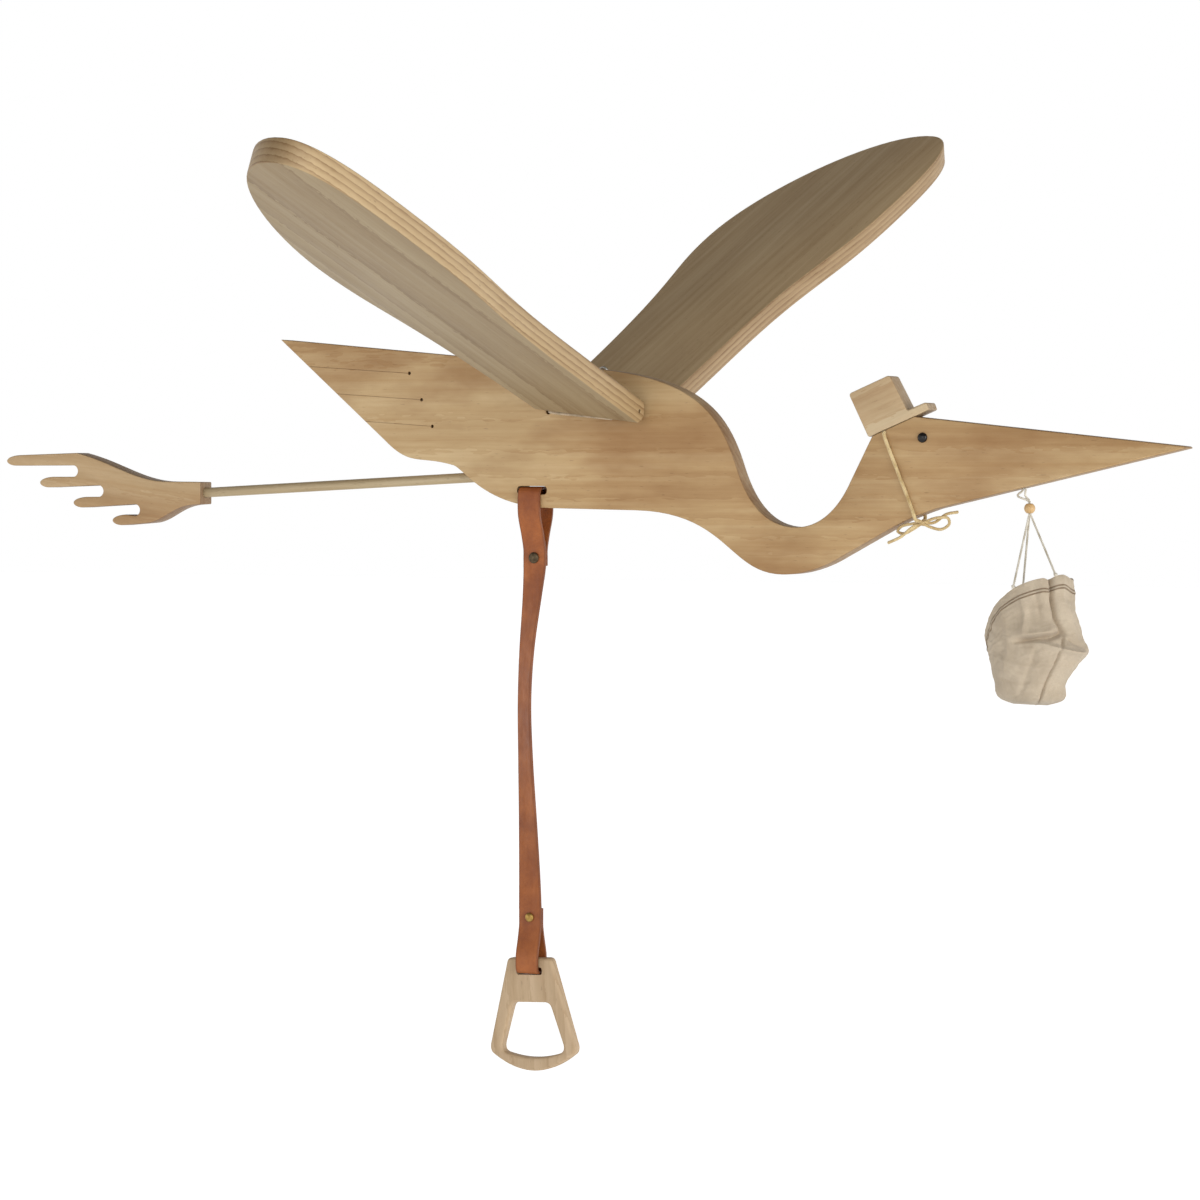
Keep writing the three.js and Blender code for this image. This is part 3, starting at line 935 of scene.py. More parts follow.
@dataclass(frozen=True)
class Cotton(Finish):
    """Plain woven natural cotton. The piece's flat coordinates are the cloth's own, in metres."""

    colour: Colour
    shade: Colour
    seams: Flat
    # The stitch lines' colour: the thread's brown, darkened further as painted shade in their grooves.
    thread: Colour
    pitch: float = 0.00075

    def paint(self, bench: Bench) -> None:
        """Wires the weave, its slubs, painted shade in its gaps, and the lines the stitches press in.

        Args:
            bench: The material's bench.
        """
        flat = bench.source["UV"]
        weave = bench.maths("MULTIPLY", *(
            bench.wave(
                flat, self.pitch, {"Distortion": 0.6, "Detail Scale": 60.0}, wave_type="BANDS",
                bands_direction=way,
            )
            for way in ("X", "Y")
        ))
        colour = bench.tint(self.colour, self.shade, bench.noise(bench.axes, 60.0, 3.0), 0.35, 0.65, 0.5)
        for scale, most in (((90, 1500, 1), 0.45), ((1500, 90, 1), 0.4)):
            slubs = bench.noise(flat, scale, 3.0, 0.6)
            colour = bench.tint(colour, self.shade, slubs, 0.52, 0.75, most)
        # Painted shade: the gaps between the threads are darkened.
        gaps = bench.span(weave, 0.0, 0.35, 0.45, 0.0)
        colour = bench.mix(gaps, colour, dim(self.shade, 0.6))
        below = bench.axis(flat, "Y")
        pressed = 0.0
        for seam in self.seams:
            line = bench.span(bench.size(below, seam), 0.0002, 0.0009, 1.0, 0.0)
            pressed = bench.maths("ADD", line, pressed)
        dent = bench.relief(bench.maths("SUBTRACT", 1.0, pressed), 0.0004)
        # The stitch lines are painted dark: partly the thread, partly painted shade in the grooves that the
        # stitches press in.
        bench.set(
            Base_Color=bench.mix(bench.maths("MULTIPLY", pressed, 0.7), colour, self.thread),
            Normal=bench.relief(weave, 0.00016, dent), Roughness=0.92, Sheen_Weight=0.2,
            Specular_IOR_Level=0.2,
        )


@dataclass(frozen=True)
class Metal(Finish):
    """Worn bare metal with fine scratches and dull patches."""

    colour: Colour
    dull: Colour
    roughness: float = 0.3

    def paint(self, bench: Bench) -> None:
        """Wires the patches and the scratches.

        Args:
            bench: The material's bench.
        """
        patches = bench.noise(bench.axes, 420.0, 4.0, 0.6)
        bench.set(
            Base_Color=bench.tint(self.colour, self.dull, patches, 0.4, 0.7), Metallic=1.0,
            Roughness=bench.span(patches, 0.3, 0.75, self.roughness - 0.06, self.roughness + 0.2),
            Normal=bench.relief(bench.noise(bench.axes, (400, 4000, 4000)), 0.00002),
        )


@dataclass(frozen=True)
class Gloss(Finish):
    """A hard glossy coat over a nearly plain colour."""

    colour: Colour
    dust: Colour = (0.05, 0.045, 0.04)
    roughness: float = 0.12

    def paint(self, bench: Bench) -> None:
        """Wires the dust over the coat.

        Args:
            bench: The material's bench.
        """
        dust = bench.noise(bench.axes, 900.0, 3.0)
        bench.set(
            Base_Color=bench.tint(self.colour, self.dust, dust, 0.55, 0.8, 0.3),
            Roughness=bench.span(dust, 0.4, 0.8, self.roughness, 0.25),
            Specular_IOR_Level=0.3, Coat_Weight=0.15, Coat_Roughness=0.05,
        )


# Painted shade: the edge tints of the body and foot pines darken their sawn edges for how light falls on
# them.
BODY_PINE = Pine(
    srgb(208, 181, 137), srgb(184, 150, 104), srgb(146, 104, 60), edge=(0.7, 0.68, 0.7),
    face_rings=0.5, trunk=(0.05, -0.25), ring_gap=0.007, crisp=1.6, rings=0.5, bands=0.8, streaks=0.3,
    stain=0.75, waver=2.4,
)
FOOT_PINE = Pine(
    srgb(200, 173, 134), srgb(183, 151, 109), srgb(154, 113, 71), edge=(0.62, 0.6, 0.64),
    face_rings=0.6, trunk=(0.05, -0.25), ring_gap=0.005, crisp=1.6, rings=0.5, bands=0.6, streaks=0.4,
    stain=0.55, waver=2.4,
)
# Painted shade: the face tint darkens the right wing's faces, and less so its sawn edges.
WING_PINE = Pine(
    srgb(200, 174, 134), srgb(180, 152, 113), srgb(128, 94, 56), face=(0.66, 0.68, 0.685),
    face_rings=0.7, trunk=(0.012, -0.2), ring_gap=0.0047, rings=1.0, crisp=1.7, bands=0.3, streaks=0.26,
    stain=0.1, waver=0.9, edge=(0.88, 0.86, 0.81), end_grain=0.45,
)
# The left wing's copy has its own painted light and shade on faces and sawn edges, besides its own grain.
LEFT_WING_PINE = replace(
    WING_PINE, edge=(0.77, 0.72, 0.66), face=(0.84, 0.83, 0.82), face_rings=0.2, streaks=0.6,
    trunk=(-0.03, -0.4), rings=0.7,
)
HANDLE_PINE = Pine(
    srgb(204, 178, 145), srgb(188, 161, 127), srgb(162, 131, 94), half=0.005, trunk=(0.01, -0.05),
    ring_gap=0.004, stain=0.15, waver=1.5, rings=0.45,
)
# Its edge tint is painted shade on the hat's sawn edges.
HAT_PINE = Pine(
    srgb(206, 186, 151), srgb(191, 164, 126), srgb(166, 131, 92), edge=(0.72, 0.7, 0.72),
    trunk=(0.02, -0.07), ring_gap=0.005, crisp=3.6, stain=0.2, waver=1.0,
)
DOWEL_WOOD = Pine(
    srgb(196, 178, 146), srgb(180, 160, 125), srgb(152, 128, 93), trunk=(0.02, -0.03), rings=0.15,
    bands=0.3, streaks=0.5, stain=0.2,
)
BEAD_WOOD = Pine(
    srgb(222, 190, 142), srgb(210, 174, 122), srgb(182, 142, 90), trunk=(0.004, -0.01), ring_gap=0.0012,
    roughness=0.32,
)


# ---------------------------------------------------------------- the camera and the studio


@dataclass
class Studio:
    """The camera, the pale floor and the soft lights.

    Each light panel is given by its name, its place, its width in metres and its power in watts.
    """

    aim: Vector = field(default_factory=lambda: DATUM.at(0, 0, -153.3))
    distance: float = 3.144
    yaw: float = 26.83
    pitch: float = -1.79
    lens: float = 120.0
    floor_below: float = 0.5
    panels: tuple[tuple[str, Spot, float, float], ...] = (
        ("front", (0.5, -4.0, 0.5), 2.4, 14.0), ("side", (3.4, -1.0, 0.3), 2.2, 46.0),
    )

    def build(self) -> None:
        """Sets up the camera, the floor, the lights and the sky."""
        self.camera()
        self.floor()
        for name, place, size, power in self.panels:
            self.light(name, place, size, power)
        self.sky()

    def camera(self) -> None:
        """Places the camera on its line of sight."""
        turn = Euler((math.radians(90 + self.pitch), 0, math.radians(self.yaw)))
        sight = turn.to_matrix() @ Vector((0, 0, -1))
        deselect()
        bpy.ops.object.camera_add(location=self.aim - sight * self.distance, rotation=turn)
        camera = named("camera")
        camera.data.lens = self.lens
        camera.data.sensor_width = 36.0
        camera.data.clip_end = 60.0
        bpy.context.scene.camera = camera

    def floor(self) -> None:
        """Lays a wide pale floor under the mobile, which glows more with distance."""
        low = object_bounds()[0][2] - self.floor_below
        deselect()
        bpy.ops.mesh.primitive_plane_add(size=60.0, location=(0, 0, low))
        floor = named("studio_floor")
        bench = Bench("studio_floor")
        away = bench.node("VectorMath", {0: bench.axes}, operation="LENGTH").outputs["Value"]
        bench.set(
            Base_Color=(0.85, 0.85, 0.85), Roughness=0.9, Emission_Color=(1.0, 1.0, 1.0),
            Emission_Strength=bench.span(away, 1.2, 2.6, 0.46, 0.85),
        )
        floor.data.materials.append(bench.material)
        floor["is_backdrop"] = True

    def light(self, name: str, place: Spot, size: float, power: float) -> None:
        """Hangs a soft square panel that faces the mobile.

        Args:
            name: The panel's name.
            place: Its place in the frame.
            size: Its width in metres.
            power: Its power in watts.
        """
        turn = (self.aim - Vector(place)).to_track_quat("-Z", "Y").to_euler()
        deselect()
        bpy.ops.object.light_add(type="AREA", location=place, rotation=turn)
        panel = named("light_" + name).data
        panel.size = size
        panel.energy = power

    def sky(self) -> None:
        """Surrounds the studio with a pale dome, dimmer overhead."""
        world = bpy.data.worlds.new("studio_sky")
        bpy.context.scene.world = world
        sky = Wiring(world)
        up = sky.axis(sky.node("TexCoord").outputs["Generated"], "Z")
        feeds = {"Color": (1.0, 1.0, 1.0), "Strength": sky.span(up, 0.2, 0.6, 1.0, 0.15)}
        sky.node("OutputWorld", {"Surface": sky.node("Background", feeds).outputs["Background"]})
        bpy.context.scene.view_settings.view_transform = "Standard"


# ---------------------------------------------------------------- cords


@dataclass
class Cordage:
    """A twisted cord of several strands laid along a line."""

    STRAND_SHARE = {2: 0.56, 3: 0.53}

    radius: float
    strands: int = 3
    turn_length: float = 3.4
    step: float = 0.55

    def lay(self, name: str, line: list[Vector]) -> Piece:
        """Twists the cord's strands about a line.

        Args:
            name: The piece's name.
            line: The cord's middle line, in metres.

        Returns:
            The cord as one mesh.
        """
        strand_radius = self.radius * MM * self.STRAND_SHARE[self.strands]
        out = self.radius * MM - strand_radius
        fine = spaced(line, self.step * MM)
        curve = bpy.data.curves.new(name, "CURVE")
        curve.dimensions = "3D"
        curve.bevel_depth = strand_radius
        curve.bevel_resolution = 2
        curve.use_fill_caps = True
        normal = (fine[1] - fine[0]).orthogonal().normalized()
        frames = []
        for index, point in enumerate(fine):
            ahead = ahead_at(fine, index)
            normal = (normal - ahead * normal.dot(ahead)).normalized()
            frames.append((point, normal.copy(), ahead.cross(normal)))
        gap = (fine[1] - fine[0]).length
        for strand in range(self.strands):
            spline = curve.splines.new("POLY")
            spline.points.add(len(fine) - 1)
            for index, (point, first, second) in enumerate(frames):
                angle = math.tau * (index * gap / (self.turn_length * MM) + strand / self.strands)
                place = point + (first * math.cos(angle) + second * math.sin(angle)) * out
                spline.points[index].co = (*place, 1.0)
        cord = bpy.data.objects.new(name, curve)
        bpy.context.scene.collection.objects.link(cord)
        pick(cord)
        bpy.ops.object.convert(target="MESH")
        return bpy.context.object

    def run(self, name: str, route: list[Spot], count: int) -> Piece:
        """Lays the cord smoothly along a route.

        Args:
            name: The piece's name.
            route: The places that it runs through, in millimetres about the hinges.
            count: How many spans the smooth line has.

        Returns:
            The cord as one mesh.
        """
        return self.lay(name, smooth_line([DATUM.at(*spot) for spot in route], count))

    def knot(self, name: str, centre: Vector, size: float) -> Piece:
        """A small round knot, its line a trefoil.

        Args:
            name: The piece's name.
            centre: The knot's middle.
            size: Its radius in millimetres.

        Returns:
            The knot as one mesh.
        """
        turn = Euler((0.4, 0.3, 0.2)).to_matrix()
        reach = (size - self.radius) / 3 * MM
        line = []
        for step in range(61):
            t = math.tau * step / 60
            x = math.sin(t) + 2 * math.sin(2 * t)
            y = math.cos(t) - 2 * math.cos(2 * t)
            line.append(centre + turn @ (Vector((x, y, -1.4 * math.sin(3 * t))) * reach))
        return self.lay(name, line)


@dataclass
class HatCord:
    """The pale cord over the head, tied in a bow under the chin."""

    radius: float = 1.5
    top: Flat = (245.2, -22.9)
    chin: Flat = (270.6, -91.3)
    beside: float = 10.6

    def build(self) -> None:
        """Lays both sides, the bow's loops, its tails and its knot."""
        cordage = Cordage(self.radius)
        bow = Cordage(self.radius * 0.85, turn_length=3.0)
        top_x, top_z = self.top
        x, z = self.chin
        knot = (x + 1.6, 0, z)
        pieces = []
        for side in (1, -1):
            route = [
                (x + 1.6, -side, z), (x + 1, side * 5, z + 1.6), (x + 0.4, side * 8.8, z + 2.1),
                (x, side * (self.beside + 0.2), z + 4.7), (x - 2, side * self.beside, z + 10.3),
                (top_x + 1, side * self.beside, top_z - 3.7),
                (top_x + 0.3, side * (self.beside - 0.2), top_z - 1.1), (top_x, side * 8.6, top_z),
                (top_x, side * 4, top_z), (top_x, -side, top_z),
            ]
            pieces.append(cordage.run(f"hat_cord_side_{side}", route, 400))
        back = (x + 1.6, 0.6, z)
        strands = (
            ((265, -2.5, -92), (257, -3.6, -94), (254, -3.4, -97.6), (258.5, -3.2, -99.4),
             (266, -2, -96), back),
            ((279, 2, -94.6), (287, 3, -96), (293, 3.4, -92), (292, 3.2, -87.6), (283, 2.4, -87.5), back),
            ((266, -5, -95), (258, -7, -101.8), (247.8, -7.4, -106.4)),
            ((280, 5.6, -91), (289, 7.2, -84.8), (298.4, 7.6, -83)),
        )
        for index, route in enumerate(strands):
            pieces.append(bow.run(f"hat_cord_bow_{index}", [knot, *route], 200 if back in route else 120))
        pieces.append(bow.knot("hat_cord_knot", DATUM.at(*knot), 3.4))
        twine = Twine(srgb(222, 200, 152), srgb(186, 158, 108)).material("pale_yellow_cord")
        finish_piece(fuse("hat_cord_bow", pieces), twine, "hat_cord", "body", "hat_cord", smooth=60)


@dataclass
class HingeCord:
    """The pale cord through the body and out under both wing roots."""

    radius: float = 1.2
    rear: Flat = (-40.0, -5.0)
    front_x: float = 18.5

    def build(self) -> None:
        """Lays the cord from under one wing, through the body, to under the other."""
        x, z = self.rear
        half = [
            (x, 7, z), (x + 0.8, 10.2, z - 0.3), (x + 4, 11, z - 1), (self.front_x - 24, 12.2, z - 4),
            (self.front_x, 15.2, z - 6.4),
        ]
        route = [(x, -y, z) for x, y, z in reversed(half)] + half
        cord = Cordage(self.radius, strands=2, turn_length=4.4).run("hinge_lacing", route, 400)
        twine = Twine(srgb(206, 188, 160), srgb(160, 142, 116)).material("hinge_twine")
        finish_piece(cord, twine, "hinge_cord", "body", "hinge_cord", smooth=60)


# ---------------------------------------------------------------- the sawn bird


@dataclass
class StorkBody:
    """The body board, with its scored tail, its strap slot and its holes.

    The holes are for the hinge cord, the eyes' pins and the hat's cord, each as x, y and radius.
    The scored lines are given by their width, depth and slope, and the slot by its x and its y.
    """

    thickness: float = 18.0
    arris: float = 0.9
    hat_seat: Flat = (235.1, -25.6)
    tail_holes: tuple[Flat, ...] = ((-166.7, 26.4), (-155.6, 5.1), (-145.7, -16.2))
    tail_bore: float = 1.4
    holes: tuple[Spot, ...] = ((-41.0, -5.0, 2.4), (276.3, -27.0, 1.5), (245.2, -22.9, 1.8))
    string_bore: Flat = (354.5, 2.4)
    beak_tip: Flat = (482.7, -35.6)
    beak_rise: float = 0.2284
    score: Spot = (0.55, 0.45, -0.07)
    score_length: float = 118.0
    slot: tuple[Flat, Flat] = ((-69.0, -42.4), (-70.6, -63.8))
    slot_corner: float = 3.2

    def outline(self) -> Outline:
        """The bird in side view: tail, back, hump, neck, head, beak, breast and belly.

        Returns:
            The closed outline.
        """
        line = Outline(-287.3, 55.2).line(0, 28)
        line.bezier((81, 20), (105, -3), (120, -44)).bezier((124, -55), (135, -95), (172, -95))
        line.bezier((198, -95), (212, -71), (217, -60.5)).line(*self.hat_seat)
        line.line(269.4, -11.2).line(481.5, -34.2).line(*self.beak_tip).line(287, -80.3)
        line.quad((268, -86.2), (254, -93.4)).line(209, -117.5)
        line.bezier((208, -118), (187, -131.3), (161, -131.3))
        line.bezier((115, -131.3), (115, -84), (35, -82.6)).line(-40, -81.2)
        line.bezier((-99, -80), (-117, -50), (-127, -47.3)).bezier((-159, -39), (-166, -49), (-190, -27))
        return line

    def build(self) -> None:
        """Saws, sands, slots and drills the body."""
        board = saw("body_board", self.outline(), self.thickness)
        ease(board, self.arris)
        cut_slot(board, *self.slot, self.slot_corner, 2 * self.thickness)
        for hole in self.tail_holes:
            self.score_line(board, *hole)
            self.drill_through(board, *hole, self.tail_bore)
        for x, y, radius in self.holes:
            self.drill_through(board, x, y, radius)
        x, radius = self.string_bore
        lowest = self.beak_tip[1] + (x - self.beak_tip[0]) * self.beak_rise
        drill(board, (x, lowest - 5, 0), (x, lowest + 12, 0), radius, 40)
        Leg.socket(board, -140, -95)
        settle(board, DATUM.upright())
        pine = BODY_PINE.material("body_pine", DATUM.upright())
        finish_piece(board, pine, "body", "body", "body")

    def score_line(self, board: Piece, x: float, y: float) -> None:
        """Scores both faces from a tail hole to the tail's edge.

        Args:
            board: The body.
            x: The hole's x.
            y: The hole's y.
        """
        width, depth, slope = self.score
        turn = Matrix.Rotation(math.atan(slope), 4, "Z")
        for face in (-1, 1):
            deselect()
            bpy.ops.mesh.primitive_cube_add(size=1.0)
            blade = bpy.context.object
            blade.scale = mm(self.score_length, width, 2 * depth)
            settle(blade, Matrix.Translation(mm(-self.score_length / 2, 0, 0)))
            settle(blade, Matrix.Translation(mm(x, y, face * self.thickness / 2)) @ turn)
            combine(board, blade)

    def drill_through(self, board: Piece, x: float, y: float, radius: float) -> None:
        """Drills a hole straight through the board."""
        drill(board, (x, y, -self.thickness), (x, y, self.thickness), radius)


@dataclass
class Wing:
    """One wing board on its hinge, with its steel hanging eye."""

    side: Side
    lift: float
    pine: Pine
    thickness: float = 18.0
    arris: float = 1.1
    root: Flat = (-45.0, 46.0)
    root_steps: int = 14
    root_turn: float = 87.0
    length: float = 569.5
    bore: float = 1.7
    bore_depth: float = 30.0
    eye: Flat = (-22.0, 30.0)
    eye_bore: float = 1.5
    ring: float = 2.9
    wire: float = 1.2

    def outline(self) -> Outline:
        """The wing: its root, out along the leading edge and back along the trailing edge.

        Returns:
            The closed outline.
        """
        rear, front = self.root
        side, tip = self.side.value, self.side.value * self.length
        line = Outline(rear, 0).line(front, 0).line(front, side * 140)
        line.bezier((front, side * 277), (61.3, side * 287), (61.3, side * 430))
        line.bezier((61.3, side * 494), (60, tip), (33, tip))
        line.bezier((-14, tip), (-65.8, side * 419), (-65.8, side * 315))
        line.bezier((-65.8, side * 232), (-51, side * 229), (-45.6, side * 30))
        return line

    def build(self) -> None:
        """Saws the wing, rounds its root, drills it and sets its eye."""
        name = self.side.name.lower()
        board = saw(f"wing_board_{name}", self.outline(), self.thickness)
        self.round_root(board)
        ease(board, self.arris)
        rear, front = self.root
        for start, end in ((front - self.bore_depth, front + 2), (rear - 2, rear + self.bore_depth)):
            drill(board, (start, 0, 0), (end, 0, 0), self.bore)
        half = self.thickness / 2
        drill(board, self.at_eye(half - 10), self.at_eye(half + 2), self.eye_bore)
        place = DATUM.wing(self.side, self.lift)
        settle(board, place)
        grain = place @ Matrix.Rotation(self.side.value * math.pi / 2, 4, "Z")
        body = f"wing_{name}"
        finish_piece(board, self.pine.material(f"wing_pine_{name}", grain), "wing", body, body)
        self.hanging_eye(place, name, body)

    def at_eye(self, z: float) -> Spot:
        """A place on the hanging eye's middle line, in the wing's own millimetres."""
        return self.eye[0], self.side.value * self.eye[1], z

    def round_root(self, board: Piece) -> None:
        """Draws the root's end out into a half round, a step at a time.

        Args:
            board: The wing.
        """
        mesh = board.data
        for part in (mesh.vertices, mesh.edges, mesh.polygons):
            part.foreach_set("select", [False] * len(part))
        for face in mesh.polygons:
            face.select = all(abs(mesh.vertices[index].co.y) < 1e-6 for index in face.vertices)
        pick(board)
        tools = bpy.context.tool_settings
        tools.mesh_select_mode = (False, False, True)
        share = math.radians(self.root_turn) / self.root_steps
        turns = [share * step for step in range(self.root_steps + 1)]
        with editing(everything=False):
            for before, after in zip(turns, turns[1:]):
                out = (math.sin(before) - math.sin(after)) * self.side.value * self.thickness / 2 * MM
                bpy.ops.mesh.extrude_region_move(TRANSFORM_OT_translate={"value": (0, out, 0)})
                slimmer = (1, 1, math.cos(after) / math.cos(before))
                bpy.ops.transform.resize(value=slimmer, center_override=(0, 0, 0))
            bpy.ops.mesh.select_all(action="SELECT")
            bpy.ops.mesh.dissolve_limited(angle_limit=0.0008)
            tools.mesh_select_mode = (True, False, False)

    def hanging_eye(self, place: Matrix, name: str, body: str) -> None:
        """Turns a ring of wire on a shank and stands it on the wing.

        Args:
            place: The wing's place.
            name: The wing's side.
            body: The body that it rides on.
        """
        middle = self.thickness / 2 + 0.3 + self.ring + self.wire
        deselect()
        bpy.ops.mesh.primitive_torus_add(
            major_radius=self.ring * MM, minor_radius=self.wire * MM, major_segments=48,
            minor_segments=16, location=mm(*self.at_eye(middle)), rotation=(math.pi / 2, 0, 0),
        )
        ring = settle(named(f"screw_eye_ring_{name}"))
        ends = (mm(*self.at_eye(z)) for z in (self.thickness / 2 - 9, middle - self.ring))
        combine(ring, rod("shank", *ends, self.wire * 0.98), Bond.JOIN)
        settle(ring, place)
        steel = Metal(srgb(206, 204, 196), srgb(150, 146, 136), 0.26).material(f"steel_{name}")
        finish_piece(ring, steel, "steel", body, f"screw_eye_{name}", smooth=50)


class Leg:
    """The dowel that is both legs in side view."""

    RADIUS = 4.0
    PLAY = 0.3
    ENDS = (-384.0, -96.0)
    SLOPE = 0.0503
    LEVEL = (-361.5, -69.5)

    @classmethod
    def at(cls, x: float) -> Spot:
        """A place on the dowel's middle line, in the millimetres of an upright board."""
        return x, cls.LEVEL[1] + cls.SLOPE * (x - cls.LEVEL[0]), 0

    @classmethod
    def socket(cls, board: Piece, start: float, end: float) -> None:
        """Drills the dowel's hole in an upright board, from one x to another."""
        drill(board, cls.at(start), cls.at(end), cls.RADIUS + cls.PLAY, 40)

    def build(self) -> None:
        """Cuts the dowel and eases its ends."""
        ends = [DATUM.upright() @ mm(*self.at(x)) for x in self.ENDS]
        dowel = rod("leg_dowel", *ends, self.RADIUS, 64)
        ease(dowel, 0.5)
        tilt = Matrix.Rotation(-math.atan(self.SLOPE), 4, "Y")
        wood = DOWEL_WOOD.material("dowel_wood", Matrix.Translation(DATUM.origin) @ tilt)
        finish_piece(dowel, wood, "leg", "body", "leg")


@dataclass
class Foot:
    """The foot board: four blunt toes, one behind another, and a square ankle."""

    thickness: float = 18.0
    arris: float = 0.9
    tips: tuple[Flat, ...] = ((-558.2, -43.3), (-524.6, -61.6), (-490.8, -78.4), (-451.8, -93.0))
    forks: tuple[Flat, ...] = ((-486.2, -51.8), (-460.7, -68.5), (-424.5, -84.2))
    fork_radius: float = 4.8

    def outline(self) -> Outline:
        """The foot in side view.

        Returns:
            The closed outline.
        """
        line = Outline(-365, -79.2).line(-365, -60.9).line(-398, -60.5)
        line.bezier((-430, -60), (-450, -45), (-487, -36.6))
        for index, (x, y) in enumerate(self.tips):
            line.line(x + 13, y + 5).quad((x + 1, y + 4.2), (x, y))
            line.quad((x + 1.5, y - 3.6), (x + 9, y - 3.9))
            if index < len(self.forks):
                fork_x, fork_y = self.forks[index]
                centre = (fork_x - self.fork_radius, fork_y)
                line.line(centre[0], fork_y + self.fork_radius).arc(centre, self.fork_radius, 90, -90)
        line.line(-418, -95).bezier((-401, -93.6), (-393, -80.8), (-372, -79.6))
        return line

    def build(self) -> None:
        """Saws the foot, sands it and drills its ankle."""
        board = saw("foot_board", self.outline(), self.thickness)
        ease(board, self.arris)
        Leg.socket(board, -385, -355)
        settle(board, DATUM.upright())
        place = DATUM.upright(-460, -60, -7)
        finish_piece(board, FOOT_PINE.material("foot_pine", place), "body", "body", "foot")


@dataclass
class Hat:
    """The hat, crown and peak sawn in one."""

    thickness: float = 18.0
    arris: float = 0.9
    seat: Flat = (235.1, -25.3)
    tilt: float = 22.6
    corners: tuple[Spot, ...] = (
        (-3.4, 0, 1.8), (50, 0, 1.4), (50.2, 6.3, 2.2),
        (33.6, 6.8, 0.8), (30.4, 36.9, 2.8), (-5.8, 36.8, 2.8),
    )

    def build(self) -> None:
        """Saws and sands the hat and sets it on the head."""
        block = saw("hat_block", rounded(self.corners), self.thickness)
        ease(block, self.arris)
        place = DATUM.upright(*self.seat, self.tilt)
        settle(block, place)
        finish_piece(block, HAT_PINE.material("hat_pine", place), "hat", "body", "hat")


@dataclass
class Eye:
    """A glossy black domed eye on one side of the head."""

    side: Side
    place: Flat = (276.3, -27.0)
    face: float = 9.3
    radius: float = 3.9
    height: float = 2.6

    def build(self) -> None:
        """Domes a ball, trims it flat and sets it on its pin."""
        name = self.side.name.lower()
        deselect()
        bpy.ops.mesh.primitive_uv_sphere_add(segments=48, ring_count=24, radius=self.radius * MM)
        dome = named(f"eye_dome_{name}")
        dome.scale = (1, 1, self.height / self.radius)
        settle(dome)
        with editing():
            bpy.ops.mesh.bisect(plane_co=(0, 0, 0), plane_no=(0, 0, 1), use_fill=True, clear_inner=True)
        combine(dome, rod("pin", mm(0, 0, -5), mm(0, 0, 0.5), 1.2, 20), Bond.JOIN)
        turn = Matrix.Rotation(-self.side.value * math.pi / 2, 4, "X")
        x, z = self.place
        settle(dome, Matrix.Translation(DATUM.at(x, self.side.value * self.face, z)) @ turn)
        black = Gloss(srgb(18, 15, 13)).material(f"black_gloss_{name}")
        finish_piece(dome, black, "eye", "body", f"eye_{name}", smooth=50)


# ---------------------------------------------------------------- strap, rivets and handle


@dataclass
class Handle:
    """The pull handle: a trapezoid with a curved lower bar, a hand opening and a strap slot."""

    x: float = -61.1
    top: float = -438.4
    thickness: float = 10.0
    tilt: float = 2.6
    slot: tuple[Flat, Flat] = ((-11.4, 11.4), (-13.4, -7.4))
    slot_corner: float = 2.0
    arris: float = 2.4

    def outline(self) -> Outline:
        """The handle's outer line.

        Returns:
            The closed outline.
        """
        line = Outline(16, 0).quad((19.6, 0), (20.4, -4)).line(37.2, -66).quad((40, -74), (35.5, -77))
        line.quad((0, -103), (-35.5, -77)).quad((-40, -74), (-37.2, -66)).line(-20.4, -4)
        return line.quad((-19.6, 0), (-16, 0))

    def opening(self) -> Outline:
        """The hand opening's line.

        Returns:
            The closed outline.
        """
        line = Outline(12, -35.4).quad((16.6, -35.4), (18, -40))
        line.line(27, -68).quad((28.6, -74), (24, -75.6))
        line.quad((0, -83), (-24, -75.6)).quad((-28.6, -74), (-27, -68)).line(-18, -40)
        return line.quad((-16.6, -35.4), (-12, -35.4))

    def build(self) -> None:
        """Saws the handle and its opening, rounds them well and cuts the slot."""
        board = saw("pull_handle", self.outline(), self.thickness)
        combine(board, saw("cutter", self.opening(), 2 * self.thickness))
        ease(board, self.arris, 5)
        cut_slot(board, *self.slot, self.slot_corner, 2 * self.thickness)
        place = DATUM.upright(self.x, self.top, self.tilt)
        settle(board, place)
        grain = place @ Matrix.Rotation(math.pi / 2, 4, "Z")
        finish_piece(board, HANDLE_PINE.material("handle_pine", grain), "handle", "body", "handle")


